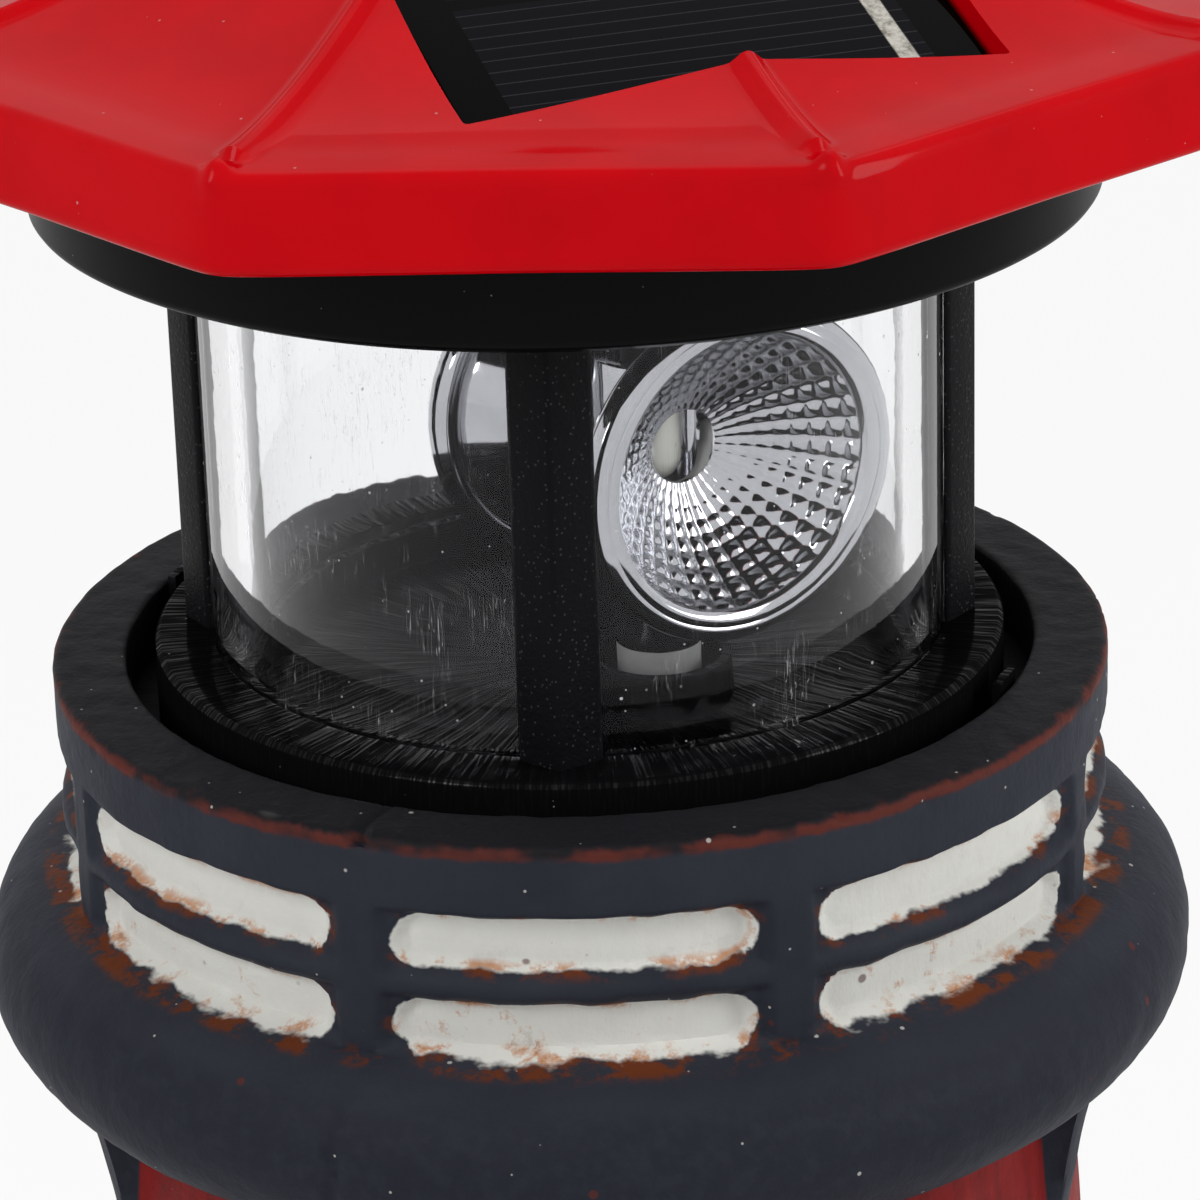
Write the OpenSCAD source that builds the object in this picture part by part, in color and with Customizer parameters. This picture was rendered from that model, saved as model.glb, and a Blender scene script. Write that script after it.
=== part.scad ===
// Solar garden lighthouse ornament.
// A cast resin tower carries a lift-out lantern, in which a small motor turns
// two back-to-back reflectors about a fixed lamp.
// Millimetres, Z up, origin on the ground at the tower's axis, front towards -Y.

/* [Tower] */
// Height of the gallery floor above the ground
tower_h = 252; // [225:1:300]
// Radius of the tower wall at its foot
foot_r = 61; // [58:0.5:64]
// Radius of the tower wall under the gallery
neck_r = 45.5; // [45:0.25:47]
// Thickness of the cast wall at the foot
cast_wall = 6; // [5:0.5:8]
// Radius of the lower step of the plinth
plinth_r = 75; // [72:0.5:80]
// Height of the lower step of the plinth
plinth_h = 13; // [10:0.5:18]
// Radius of the upper step of the plinth
plinth_top_r = 69; // [67:0.5:71]
// Height of the upper step of the plinth
plinth_top_h = 9; // [6:0.5:12]
// Radius of each anti-slip pad
pad_r = 6; // [4:0.5:7]
// Thickness of each anti-slip pad
pad_h = 2; // [1:0.25:3]

/* [Gallery] */
// Outer radius of the gallery wall
gallery_r = 50; // [49:0.25:52]
// Radius of the round recess that takes the lantern
recess_r = 43; // [42:0.25:44]
// Number of bays round the gallery
bays = 8; // [6:1:10]
// Width of the posts between the bays
bay_post_w = 4.4; // [3:0.2:6]
// Depth of a bay behind its posts
bay_depth = 0.9; // [0.5:0.1:1.4]
// Depth of a painted slot behind its bay
slot_depth = 1.3; // [0.8:0.1:1.8]
// Height of a painted slot
slot_h = 5; // [4:0.2:5.2]
// Distance from the gallery floor down to the upper slot
slot_drop = 7.4; // [6.5:0.1:8.5]
// Radius of the rail between the two slots
rail_r = 1.2; // [0.8:0.1:1.4]
// Outer radius of the thick roll under the gallery
roll_r = 58; // [56:0.25:60]
// Radius of the roll's round section
roll_tube_r = 8.9; // [8:0.1:9.5]
// Distance from the gallery floor down to the middle of the roll
roll_drop = 29.8; // [29.6:0.2:31]
// Width of each bracket under the roll
bracket_w = 4.6; // [3:0.2:6]
// Height of each bracket
bracket_h = 21; // [15:0.5:30]
// Turn of the bays from the lantern's posts, in degrees
bay_turn = 1.6; // [0:0.2:10]

/* [Door and windows] */
// Width of the door opening
door_w = 17; // [12:0.5:20]
// Height of the door's straight sides
door_h = 23; // [18:0.5:28]
// Width of a window opening
window_w = 10; // [8:0.5:12]
// Height of a window's straight sides
window_h = 11; // [8:0.5:14]
// Width of the moulded frames
frame_w = 2.2; // [1.4:0.1:3]
// How far the frames stand proud of the wall
frame_proud = 1.6; // [1:0.1:2.4]
// Depth of the door and the window panes behind the wall
pane_depth = 1.4; // [0.8:0.1:2]

/* [Lantern base] */
// Outer radius of the lantern's flange
flange_r = 40.2; // [39.8:0.1:41.2]
// How far the flange stands above the gallery floor
flange_proud = 1.6; // [0.8:0.1:3]
// Height of the flange's skirt
skirt_h = 8; // [7:0.25:9]
// Wall thickness of the flange and its skirt
flange_wall = 2; // [1.6:0.1:2.2]
// Radius of the well inside the lens
well_r = 30; // [28.5:0.25:30.5]
// Depth of the well
well_depth = 4.2; // [3.5:0.1:5]
// Radius of the boss that carries the beacon
boss_r = 6.8; // [6.2:0.1:7.5]
// Radius of the counterbore in the boss
boss_bore_r = 5.8; // [5:0.1:6]
// Height of the boss above the floor of the well
boss_h = 3.3; // [2.5:0.1:4]
// Outer radius of the cup under the flange
cup_r = 33.4; // [32.6:0.1:33.6]
// Depth of the cup below the flange's skirt
cup_depth = 38; // [37.5:0.5:44]
// Wall thickness of the cup
cup_wall = 1.8; // [1.4:0.1:2]

/* [Lens and posts] */
// Outer radius of the clear lens tube
lens_r = 34; // [33.6:0.1:34]
// Wall thickness of the lens tube
lens_wall = 2.5; // [2:0.1:2.6]
// Depth of the lens seat in the flange
lens_seat = 1.4; // [1:0.1:1.8]
// Thickness of the seals above and below the lens
seal_t = 0.5; // [0.3:0.1:0.8]
// Width of each lantern post
post_w = 7.4; // [6.4:0.2:8.4]
// Radius at the ridge of each lantern post
post_ridge_r = 37.6; // [37.2:0.1:38.2]

/* [Roof] */
// Half of the roof's width across its flats
roof_half = 60.4; // [58.5:0.2:63]
// Height of the roof's upright edge
fascia_h = 8.6; // [7:0.2:10]
// Height from the flange to the lower edge of the roof
eave_z = 53.8; // [52:0.2:58]
// Rise of the roof from its edge to its peak
roof_rise = 29.5; // [28.5:0.5:33]
// Wall thickness of the roof
roof_wall = 2.2; // [1.8:0.1:2.6]
// Width of the rib along each hip
rib_w = 3.2; // [2.4:0.1:4]
// Height of the rib along each hip
rib_h = 1; // [0.6:0.1:1.4]
// Outer radius of the black ring under the roof
ring_r = 49.1; // [48.6:0.1:50]
// Height from the flange to the lower edge of the ring
ring_z = 43; // [41:0.25:45]
// Height from the flange to the ceiling over the lens
ceiling_z = 46.9; // [45.5:0.1:48]

/* [Solar panel] */
// Width of the panel along its front edge
panel_w = 47; // [44:0.5:48]
// Length of the panel up the slope
panel_l = 38.5; // [34:0.5:39]
// Tilt of the panel, in degrees
panel_tilt = 18; // [16:0.5:19]
// Distance from the roof's axis to the pocket's front wall
panel_reach = 44.6; // [43.5:0.1:45.5]
// Thickness of the panel's board
board_t = 1.2; // [0.8:0.1:1.6]
// Thickness of the clear resin over the cells
resin_t = 1.4; // [1:0.1:1.8]

/* [Beacon] */
// Sideways offset of the beacon's axis
beacon_x = 7.7; // [6.5:0.1:8.5]
// Forward offset of the beacon's axis
beacon_y = -6.6; // [-7:0.1:-5.5]
// Height from the flange to the middle of the reflectors
beacon_z = 20.8; // [19.5:0.1:22.5]
// Direction that the front reflector faces, in degrees from the front
beacon_turn = 36; // [0:1:90]
// Radius of a reflector's rim
rim_r = 15.1; // [14.5:0.1:15.3]
// Distance from the beacon's axis to a reflector's rim
rim_reach = 13.2; // [12.5:0.1:13.4]
// Width of the rim's flat ring
rim_w = 1.5; // [1.2:0.1:2]
// Radius of the chromed stem
stem_r = 4; // [3.4:0.1:4.4]
// Radius of the spindle's shaft
shaft_r = 2; // [1.6:0.1:2.4]

/* [Drive] */
// Gear module, in millimetres of pitch diameter per tooth
gear_module = 0.8; // [0.7:0.05:0.8]
// Number of teeth on the spindle gear
spindle_teeth = 30; // [24:1:30]
// Number of teeth on the motor's pinion
pinion_teeth = 10; // [10:1:12]
// Thickness of the gears
gear_t = 3.6; // [2.5:0.1:4]
// Radius of the motor's can
motor_r = 10; // [8:0.25:10]
// Height of the motor's can
motor_h = 12; // [9:0.5:12.5]
// Radius of the battery cell
cell_r = 7.1; // [6.5:0.1:7.2]
// Length of the battery cell
cell_l = 49.5; // [44:0.5:50]
// Travel of the power switch
switch_travel = 2.5; // [1.5:0.1:3]

/* [Hidden] */
$fn = 96;

// Clearances
slip = 0.2;           // between pieces that drop into each other
run_fit = 0.05;       // round a turning shaft
gap = 0.3;            // between pieces that move past each other
over = 1;             // how far a cut runs past the face that it opens
through = 30;         // a cut that runs right out of its piece

// Tower
step_top = pad_h + plinth_h + plinth_top_h;
roll_mid_r = roll_r - roll_tube_r;
roll_z = tower_h - roll_drop;
ledge_w = 1.6;
bore_r = flange_r - ledge_w;
ledge_z = tower_h + flange_proud - skirt_h;
bore_room = 12;
bore_z = ledge_z - cup_depth - bore_room;
wall_slope = (foot_r - neck_r) / (roll_z - step_top);
function wall_r(z) = foot_r - (z - step_top) * wall_slope;

// Lantern levels, measured up from the top of the flange
lz = tower_h + flange_proud;
floor_z = -well_depth - flange_wall;
seat_z = -lens_seat;
plate_z = seat_z - flange_wall;
lens_bottom = seat_z + seal_t;
lens_top = ceiling_z - seal_t;
housing_wall = 2;
tray_z = eave_z + 0.5;
tray_top = tray_z + housing_wall;
eave_top = eave_z + fascia_h;

// Roof
eave_flat = 4.4;
flat_half = roof_half - eave_flat;
tan_half = tan(22.5);
cos_half = cos(22.5);
edge_round = 1.2;
peak_r = 5.5;
peak_h = 2;
// Height of a facet above the roof's edge, at a distance from the axis
function roof_z(rho) = rho >= flat_half ? 0
    : roof_rise * pow((flat_half - max(rho, peak_r - 1)) / flat_half, 1.5);
screw_r = 1.1;
screw_head_r = 2;
screw_head_h = 1.4;
roof_screw_r = 53.5;
roof_screw_bite = 3.5;
roof_boss_r = 3;

// Panel, in the upright plane through its middle
panel_room = 0.7;
pocket_w = panel_w + 2 * panel_room;
panel_t = board_t + resin_t;
panel_sink = 0.8;
panel_top_z = eave_top - panel_sink;
panel_az = 22.5;
panel_start = 0.4;
pocket_len = (panel_l + 2 * panel_start) * cos(panel_tilt) + panel_t * sin(panel_tilt);
pocket_wall = 1.8;
cell_t = 0.3;
ribbon_t = 0.15;
cell_margin = 4.6;
cell_gap = 1.6;
cell_wide = panel_w - 2 * cell_margin;
cell_edge = 2;
cell_deep = (panel_l - 2 * cell_edge - cell_gap) / 2;

// Beacon
boss_top = boss_h - well_depth;
counter_z = -well_depth + 0.6;
collar_r = stem_r - 0.1;
collar_top = boss_top + 1.4;
bearing_r = shaft_r + 2.4;
bearing_z = floor_z - 2.3;
gear_top = bearing_z - gap;
gear_z = gear_top - gear_t;
body_r = 5.6;
body_flat = 4.7;
body_bore_r = 3.9;
body_h = 17;
body_drop = 9;
body_bore_drop = 7;
throat_r = 3.5;
lamp_r = 2.5;
lamp_flange_r = 2.9;
lamp_l = 6;
lamp_flange_t = 1;
carrier_cap_r = 6;
carrier_cap_t = 1.4;
neck_room_r = shaft_r + 0.5;
bowl_wall = 0.9;
rim_t = 1.3;
mouth_r = rim_r - rim_w;

// Drive
pinion_pitch = gear_module * pinion_teeth / 2;
spindle_pitch = gear_module * spindle_teeth / 2;
axis_gap = pinion_pitch + spindle_pitch;
motor_az = 135;
motor_x = beacon_x + axis_gap * cos(motor_az);
motor_y = beacon_y + axis_gap * sin(motor_az);
bracket_t = 1.1;
bracket_z = gear_z - 0.4 - bracket_t;
pillar_reach = motor_r + 3.2;
pillar_r = 2.6;
motor_shaft_r = 1;
cup_bottom = -skirt_h - cup_depth;
cup_floor = cup_bottom + 2;
cell_y = -6;
cell_z = cup_floor + 0.4 + cell_r;
contact_t = 0.6;
contact_room = 3;
bay_wall = 1.2;
bay_side = cell_r + 0.5;
bay_end = cell_l / 2 + contact_room;
door_lip = 1.4;
door_screw_bite = 4.5;
hatch_t = 2.5;
lug_boss_r = 2.6;
lug_boss_h = 5;
door_t = 1.2;
hatch_l = cell_l + 2;
hatch_w = 2 * cell_r + 0.6;
lug_r = 3.2;
lug_y = cell_y + hatch_w / 2 + door_lip + 1.2;

module at_lantern() { translate([0, 0, lz]) children(); }
module at_beacon() { translate([beacon_x, beacon_y, lz]) children(); }
module at_motor() { translate([motor_x, motor_y, lz]) children(); }
// Turns a child whose outward side is -Y to an azimuth from the front
module facing(az) { rotate([0, 0, az]) children(); }
// Stands a profile drawn as (radius, height) in the upright plane that faces -Y
module upright(width) {
    rotate([0, 0, -90]) rotate([90, 0, 0]) linear_extrude(width, center = true) children();
}
module tube(r_out, r_in, z0, z1) {
    translate([0, 0, z0]) difference() {
        cylinder(r = r_out, h = z1 - z0);
        translate([0, 0, -over]) cylinder(r = r_in, h = z1 - z0 + 2 * over);
    }
}
// A self-tapping screw whose head is at z0 and whose shank points up
module screw(z0, length) {
    translate([0, 0, z0]) difference() {
        cylinder(r = screw_head_r, h = screw_head_h);
        for (a = [0, 90]) rotate([0, 0, a]) translate([-1.3, -0.25, -over]) cube([2.6, 0.5, over + 0.7]);
    }
    translate([0, 0, z0 + screw_head_h]) cylinder(r = screw_r - run_fit, h = length - screw_head_h);
}

// ---- Tower ----

module tower_outside() {
    rotate_extrude() polygon([
        [0, pad_h], [plinth_r - 1.5, pad_h], [plinth_r, pad_h + 1.5],
        [plinth_r, pad_h + plinth_h - 2], [plinth_r - 2, pad_h + plinth_h],
        [plinth_top_r, pad_h + plinth_h],
        [plinth_top_r, step_top - 1.6], [plinth_top_r - 1.6, step_top],
        [foot_r, step_top],
        [neck_r, roll_z],
        [gallery_r, roll_z],
        [gallery_r, tower_h - 0.8], [gallery_r - 0.8, tower_h],
        [0, tower_h]
    ]);
    translate([0, 0, roll_z]) rotate_extrude() translate([roll_mid_r, 0]) circle(r = roll_tube_r);
}
// The hollow: a recess for the flange, a bore for the cup, and the open foot
module tower_hollow() {
    foot_bore_r = foot_r - cast_wall;
    rotate_extrude() polygon([
        [0, pad_h - over], [foot_bore_r, pad_h - over], [foot_bore_r, step_top],
        [bore_r, bore_z], [bore_r, ledge_z], [recess_r, ledge_z],
        [recess_r, tower_h + over], [0, tower_h + over]
    ]);
}
bay_angle = 360 / bays;
bay_half = bay_angle / 2 - asin(bay_post_w / 2 / gallery_r);
slot_half = bay_half - 0.8;
// A ring sector that faces -Y, from radius r0 outwards
module sector(r0, z0, height, half_angle) {
    translate([0, 0, z0]) rotate([0, 0, -90 - half_angle]) rotate_extrude(angle = 2 * half_angle)
        translate([r0, 0]) square([gallery_r + 2 - r0, height]);
}
// A round-ended slot in the gallery wall
module slot(z0) {
    end = slot_h / 2;
    floor_r = gallery_r - bay_depth - slot_depth;
    half = slot_half - asin(end / gallery_r);
    sector(floor_r, z0, slot_h, half);
    for (a = [-half, half])
        facing(a) translate([0, 0.15 - floor_r, z0 + end]) rotate([90, 0, 0])
            cylinder(r = end, h = gallery_r + 2 - floor_r);
}
slot_top = tower_h - slot_drop;
rail_z = slot_top - slot_h - rail_r - 0.2;
low_slot_z = rail_z - rail_r - 0.2 - slot_h;
bay_z = low_slot_z - 0.3;
module gallery_bays() {
    for (i = [0 : bays - 1]) facing(i * bay_angle + bay_turn) {
        sector(gallery_r - bay_depth, bay_z, slot_top + 0.4 - bay_z, bay_half);
        slot(slot_top - slot_h);
        slot(low_slot_z);
    }
}
module gallery_rails() {
    for (i = [0 : bays - 1]) facing(i * bay_angle + bay_turn)
        translate([0, 0, rail_z]) rotate([0, 0, -90 - bay_half - 0.4])
            rotate_extrude(angle = 2 * bay_half + 0.8) translate([gallery_r - bay_depth, 0])
                circle(r = rail_r);
}
module bracket() {
    top_z = roll_z - roll_tube_r * 0.5;
    low_z = top_z - bracket_h;
    top_r = roll_mid_r + roll_tube_r * 0.45;
    low_r = wall_r(low_z);
    upright(bracket_w) polygon(concat(
        [[neck_r - 3, low_z - 2], [neck_r - 3, top_z]],
        [for (t = [0 : 15 : 90]) [low_r + (top_r - low_r) * (1 - sin(t)), top_z - bracket_h * (1 - cos(t))]]
    ));
}
// An arched outline that stands on y = 0
module arch(width, side) {
    translate([-width / 2, 0]) square([width, side]);
    translate([0, side]) circle(d = width);
}
module arched_frame(width, side, z0) {
    from = wall_r(z0 + side + width / 2) - 2;
    translate([0, -from, z0 - frame_w]) rotate([90, 0, 0])
        linear_extrude(wall_r(z0) + frame_proud - from) arch(width + 2 * frame_w, side + frame_w);
}
module arched_cut(width, side, z0) {
    depth_r = wall_r(z0 + side + width / 2) - pane_depth;
    translate([0, -depth_r, z0]) rotate([90, 0, 0]) linear_extrude(through) arch(width, side);
}
window_spots = [[0, 0.36], [120, 0.55], [240, 0.55], [0, 0.73]];
function window_z(share) = step_top + share * (roll_z - roll_tube_r - step_top);
module windows(cut) {
    for (spot = window_spots) facing(spot[0] + bay_turn) {
        z0 = window_z(spot[1]);
        if (cut) arched_cut(window_w, window_h, z0);
        else arched_frame(window_w, window_h, z0);
    }
}
module window_bars() {
    for (spot = window_spots) facing(spot[0] + bay_turn) {
        z0 = window_z(spot[1]);
        r = wall_r(z0 + window_h);
        translate([-0.6, -r, z0 - 0.5]) cube([1.2, 4, window_h + window_w / 2 + 1]);
        translate([-window_w / 2 - 0.5, -r, z0 + window_h * 0.55]) cube([window_w + 1, 4, 1.2]);
    }
}
door_step_h = 1.6;
door_step_room = 3;
door_z = step_top + door_step_h;
module door_step() {
    translate([0, door_step_room - foot_r, step_top - over])
        cylinder(r = door_w / 2 + door_step_room, h = over + door_step_h);
}
module tower_casting() {
    color([0.24, 0.26, 0.28]) {
        difference() {
            union() {
                difference() {
                    tower_outside();
                    gallery_bays();
                }
                gallery_rails();
                for (i = [0 : bays - 1]) facing((i + 0.5) * bay_angle + bay_turn) bracket();
                windows(false);
                facing(bay_turn) arched_frame(door_w, door_h, door_z);
                facing(bay_turn) door_step();
            }
            windows(true);
            facing(bay_turn) arched_cut(door_w, door_h, door_z);
            tower_hollow();
        }
        window_bars();
    }
}
module anti_slip_pads() {
    color([0.1, 0.1, 0.1]) for (i = [0 : 3]) facing(45 + i * 90)
        translate([0, -(foot_r - cast_wall + plinth_r) / 2, 0]) cylinder(r = pad_r, h = pad_h);
}

// ---- Roof ----

// Half width and height of the roof, as a profile across two opposite facets
module roof_profile(inset) {
    half = roof_half - inset;
    flat = flat_half - inset * tan_half;
    top = -inset;
    steps = 9;
    side = concat(
        [for (i = [0 : steps]) let (rho = flat_half * i / steps) [rho * flat / flat_half, top + roof_z(rho)]],
        [for (a = [90 : -30 : 0]) [half - edge_round * (1 - cos(a)), top - edge_round * (1 - sin(a))]],
        [[half, -fascia_h - inset]]
    );
    polygon(concat(side, [for (i = [len(side) - 1 : -1 : 0]) [-side[i][0], side[i][1]]]));
}
module roof_form(inset) {
    translate([0, 0, eave_top]) intersection_for (i = [0 : 3]) rotate([0, 0, i * 45]) rotate([90, 0, 0])
        linear_extrude(4 * roof_half, center = true) roof_profile(inset);
}
module hip_rib(width, height) {
    end_r = roof_half / cos_half - 1.2;
    steps = 11;
    span = [for (i = [0 : steps]) peak_r - 2 + (end_r - peak_r + 2) * i / steps];
    upright(width) polygon(concat(
        [for (r = span) [r, eave_top + roof_z(r * cos_half) + height]],
        [[end_r + height * 0.6, eave_top - 0.4], [end_r, eave_top - 2]],
        [for (i = [steps : -1 : 0]) [span[i], eave_top + roof_z(span[i] * cos_half) - 1.2]]
    ));
}
// Profile in the panel's upright plane: (distance from the axis, height), from its top face down
module pocket_profile(depth, side_room, rise) {
    front = panel_reach + side_room;
    back = panel_reach - pocket_len - side_room;
    function plane_z(d) = panel_top_z + (panel_reach - d) * tan(panel_tilt) - depth;
    polygon([[front, plane_z(front)], [back, plane_z(back)], [back, rise], [front, rise]]);
}
pocket_depth = panel_t / cos(panel_tilt) + 0.1;
// The low dome on which the ribs meet
module peak_cap() {
    dome_r = (peak_r * peak_r + peak_h * peak_h) / (2 * peak_h);
    steps = 6;
    function dome_z(r) = sqrt(dome_r * dome_r - r * r) - dome_r + peak_h + 0.6;
    rotate_extrude() polygon(concat(
        [[0, -1.2], [peak_r, -1.2]],
        [for (i = [0 : steps]) let (r = peak_r * (1 - i / steps)) [r, dome_z(r)]]
    ));
}
module roof_boss() {
    translate([0, -roof_screw_r, tray_top]) difference() {
        cylinder(r = roof_boss_r, h = eave_top - tray_top - 0.6);
        translate([0, 0, -over]) cylinder(r = screw_r, h = over + roof_screw_bite + 0.5);
    }
}
module roof_shell() {
    color([0.78, 0.02, 0.05]) at_lantern() difference() {
        union() {
            difference() {
                roof_form(0);
                roof_form(roof_wall);
            }
            intersection() {
                roof_form(0);
                facing(panel_az) upright(pocket_w + 2 * pocket_wall)
                    pocket_profile(pocket_depth + pocket_wall, pocket_wall, eave_top + 2 * roof_rise);
            }
            for (i = [0 : 7]) facing(22.5 + i * 45) {
                hip_rib(rib_w, rib_h * 0.45);
                hip_rib(rib_w * 0.72, rib_h * 0.8);
                hip_rib(rib_w * 0.36, rib_h);
            }
            translate([0, 0, eave_top + roof_z(0)]) peak_cap();
            for (i = [0 : 3]) facing(22.5 + i * 90) roof_boss();
        }
        facing(panel_az) upright(pocket_w) pocket_profile(pocket_depth, 0, eave_top + 2 * roof_rise);
    }
}

// ---- Solar panel, drawn flat with its front edge at y = 0 and its top face at z = 0 ----

module at_panel() {
    at_lantern() facing(panel_az) translate([0, -panel_reach, panel_top_z])
        rotate([panel_tilt, 0, 0]) translate([0, panel_start, 0]) children();
}
module plate(width, y0, deep, z0, thick) { translate([-width / 2, y0, z0]) cube([width, deep, thick]); }
function cell_start(i) = cell_edge + i * (cell_deep + cell_gap);
module cell_strips() {
    for (i = [0, 1]) plate(cell_wide, cell_start(i), cell_deep, -resin_t, cell_t);
}
module ribbon_strips() {
    for (i = [0, 1]) translate([(i == 0 ? 1 : -1) * (cell_wide / 2 - 2.2), 0, 0])
        plate(1.7, cell_start(i) + 0.4, cell_deep - 0.8, -resin_t + cell_t, ribbon_t);
}
module panel_board() {
    color([0.05, 0.05, 0.06]) at_panel() plate(panel_w, 0, panel_l, -panel_t, board_t);
}
module solar_cells() { color([0.03, 0.04, 0.08]) at_panel() cell_strips(); }
module cell_ribbons() { color([0.75, 0.75, 0.72]) at_panel() ribbon_strips(); }
module panel_resin() {
    color([0.1, 0.1, 0.12]) at_panel() difference() {
        plate(panel_w, 0, panel_l, -resin_t, resin_t);
        cell_strips();
        ribbon_strips();
    }
}

// ---- Upper housing: tray in the roof and ring; and the cage: ceiling and the four posts ----

post_back = lens_r + gap;
post_screw_r = post_back + (post_ridge_r - post_back) * 0.44;
post_screw_bite = 6;
module lantern_post() {
    difference() {
        linear_extrude(ceiling_z + 0.5) polygon([
            [-post_w / 2, -post_back], [-post_w / 2, -post_back - 0.7], [0, -post_ridge_r],
            [post_w / 2, -post_back - 0.7], [post_w / 2, -post_back]
        ]);
        translate([0, -post_screw_r, -over]) cylinder(r = screw_r, h = over + post_screw_bite + 2);
    }
}
module upper_housing() {
    color([0.06, 0.06, 0.065]) at_lantern() difference() {
        union() {
            translate([0, 0, tray_z]) rotate([0, 0, 22.5])
                cylinder(r = (roof_half - roof_wall - slip) / cos_half, h = housing_wall, $fn = 8);
            translate([0, 0, ring_z]) cylinder(r = ring_r, h = tray_z - ring_z + 0.5);
        }
        translate([0, 0, ring_z - over])
            cylinder(r = ring_r - housing_wall, h = tray_top - ring_z + 2 * over);
        for (i = [0 : 3]) facing(22.5 + i * 90) translate([0, -roof_screw_r, tray_z - over])
            cylinder(r = screw_r, h = housing_wall + 2 * over);
    }
}
module lens_cage() {
    color([0.06, 0.06, 0.065]) at_lantern() {
        difference() {
            translate([0, 0, ceiling_z]) cylinder(r = ring_r - housing_wall - slip, h = housing_wall);
            translate([beacon_x, beacon_y, ceiling_z - over])
                cylinder(r = lamp_flange_r + slip, h = housing_wall + 2 * over);
        }
        for (i = [0 : 3]) facing(i * 90) lantern_post();
        tube(lens_r + gap + 0.6, lens_r + slip, ceiling_z - 2, ceiling_z + 0.5);
    }
}
module roof_screws() {
    color("silver") at_lantern() for (i = [0 : 3]) facing(22.5 + i * 90)
        translate([0, -roof_screw_r, 0])
            screw(tray_z - screw_head_h, screw_head_h + housing_wall + roof_screw_bite);
}
module lens_tube() {
    color([0.85, 0.88, 0.92, 0.3]) at_lantern() tube(lens_r, lens_r - lens_wall, lens_bottom, lens_top);
}
module lens_seals() {
    color([0.15, 0.15, 0.15]) at_lantern() {
        tube(lens_r, lens_r - lens_wall, seat_z, lens_bottom);
        tube(lens_r, lens_r - lens_wall, lens_top, ceiling_z);
    }
}
lamp_top = beacon_z + 4;
module lamp_carrier() {
    color([0.08, 0.08, 0.08]) at_beacon() {
        translate([0, 0, ceiling_z + housing_wall]) cylinder(r = carrier_cap_r, h = carrier_cap_t);
        translate([0, 0, lamp_top]) cylinder(r = lamp_flange_r, h = ceiling_z + housing_wall - lamp_top);
    }
}
module lamp() {
    color([0.95, 0.95, 0.85]) at_beacon() {
        translate([0, 0, lamp_top - lamp_flange_t]) cylinder(r = lamp_flange_r, h = lamp_flange_t);
        translate([0, 0, lamp_top - lamp_l]) cylinder(r = lamp_r, h = lamp_l - lamp_flange_t / 2);
        translate([0, 0, lamp_top - lamp_l]) sphere(r = lamp_r);
    }
}

// ---- Lantern base ----

module base_flange() {
    color([0.05, 0.05, 0.055]) at_lantern() difference() {
        union() {
            rotate_extrude() polygon([
                [0, floor_z], [0, -well_depth], [well_r, -well_depth],
                [well_r, seat_z + 0.9], [lens_r - lens_wall - slip, seat_z + 0.9],
                [lens_r - lens_wall - slip, seat_z],
                [lens_r + slip, seat_z], [lens_r + slip, 0],
                [flange_r - 0.5, 0], [flange_r, -0.5], [flange_r, -skirt_h],
                [flange_r - flange_wall, -skirt_h], [flange_r - flange_wall, plate_z],
                [well_r + flange_wall, plate_z], [well_r + flange_wall, floor_z]
            ]);
            translate([beacon_x, beacon_y, -well_depth]) cylinder(r = boss_r, h = boss_h);
            translate([beacon_x, beacon_y, bearing_z]) cylinder(r = bearing_r, h = -bearing_z - well_depth);
            for (s = [-1, 1]) translate(pillar_at(s)) translate([0, 0, bracket_z + bracket_t])
                cylinder(r = pillar_r, h = floor_z - bracket_z - bracket_t + 0.5);
            for (a = [70, 250]) facing(a) seat_tab();
        }
        translate([beacon_x, beacon_y, counter_z]) cylinder(r = boss_bore_r, h = through);
        translate([beacon_x, beacon_y, bearing_z - over]) cylinder(r = shaft_r + run_fit, h = through);
        for (s = [-1, 1]) translate(pillar_at(s)) translate([0, 0, bracket_z - over])
            cylinder(r = screw_r, h = over + bracket_t + bracket_bite);
        post_screw_holes(plate_z);
    }
}
// A springy tab that centres the flange in the recess
module seat_tab() {
    reach = recess_r - gap;
    translate([-2.2, -reach, -skirt_h + 1]) cube([4.4, 0.9, skirt_h - 2]);
    translate([-2.2, -reach, -skirt_h + 1]) cube([4.4, reach - flange_r + 1, 1.2]);
}
function pillar_at(s) = [motor_x + s * pillar_reach * cos(45), motor_y + s * pillar_reach * sin(45), 0];
// Clears the four post screws from a level upwards
module post_screw_holes(z0) {
    for (i = [0 : 3]) facing(i * 90) translate([0, -post_screw_r, z0 - over])
        cylinder(r = screw_r, h = 2 * over - z0);
}
module post_screws() {
    color("silver") at_lantern() for (i = [0 : 3]) facing(i * 90) translate([0, -post_screw_r, 0])
        screw(-skirt_h - screw_head_h, screw_head_h + skirt_h + post_screw_bite);
}
bracket_bite = 5;
module motor_bracket() {
    ear_r = pillar_r + 0.6;
    color([0.7, 0.7, 0.72]) at_lantern() difference() {
        translate([motor_x, motor_y, bracket_z]) {
            cylinder(r = motor_r, h = bracket_t);
            rotate([0, 0, 45]) {
                translate([-pillar_reach, -ear_r, 0]) cube([2 * pillar_reach, 2 * ear_r, bracket_t]);
                for (s = [-1, 1]) translate([s * pillar_reach, 0, 0]) cylinder(r = ear_r, h = bracket_t);
            }
        }
        translate([motor_x, motor_y, bracket_z - over])
            cylinder(r = motor_nose_r + slip, h = bracket_t + 2 * over);
        for (s = [-1, 1]) translate(pillar_at(s)) translate([0, 0, bracket_z - over])
            cylinder(r = screw_r, h = bracket_t + 2 * over);
    }
}
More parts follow.
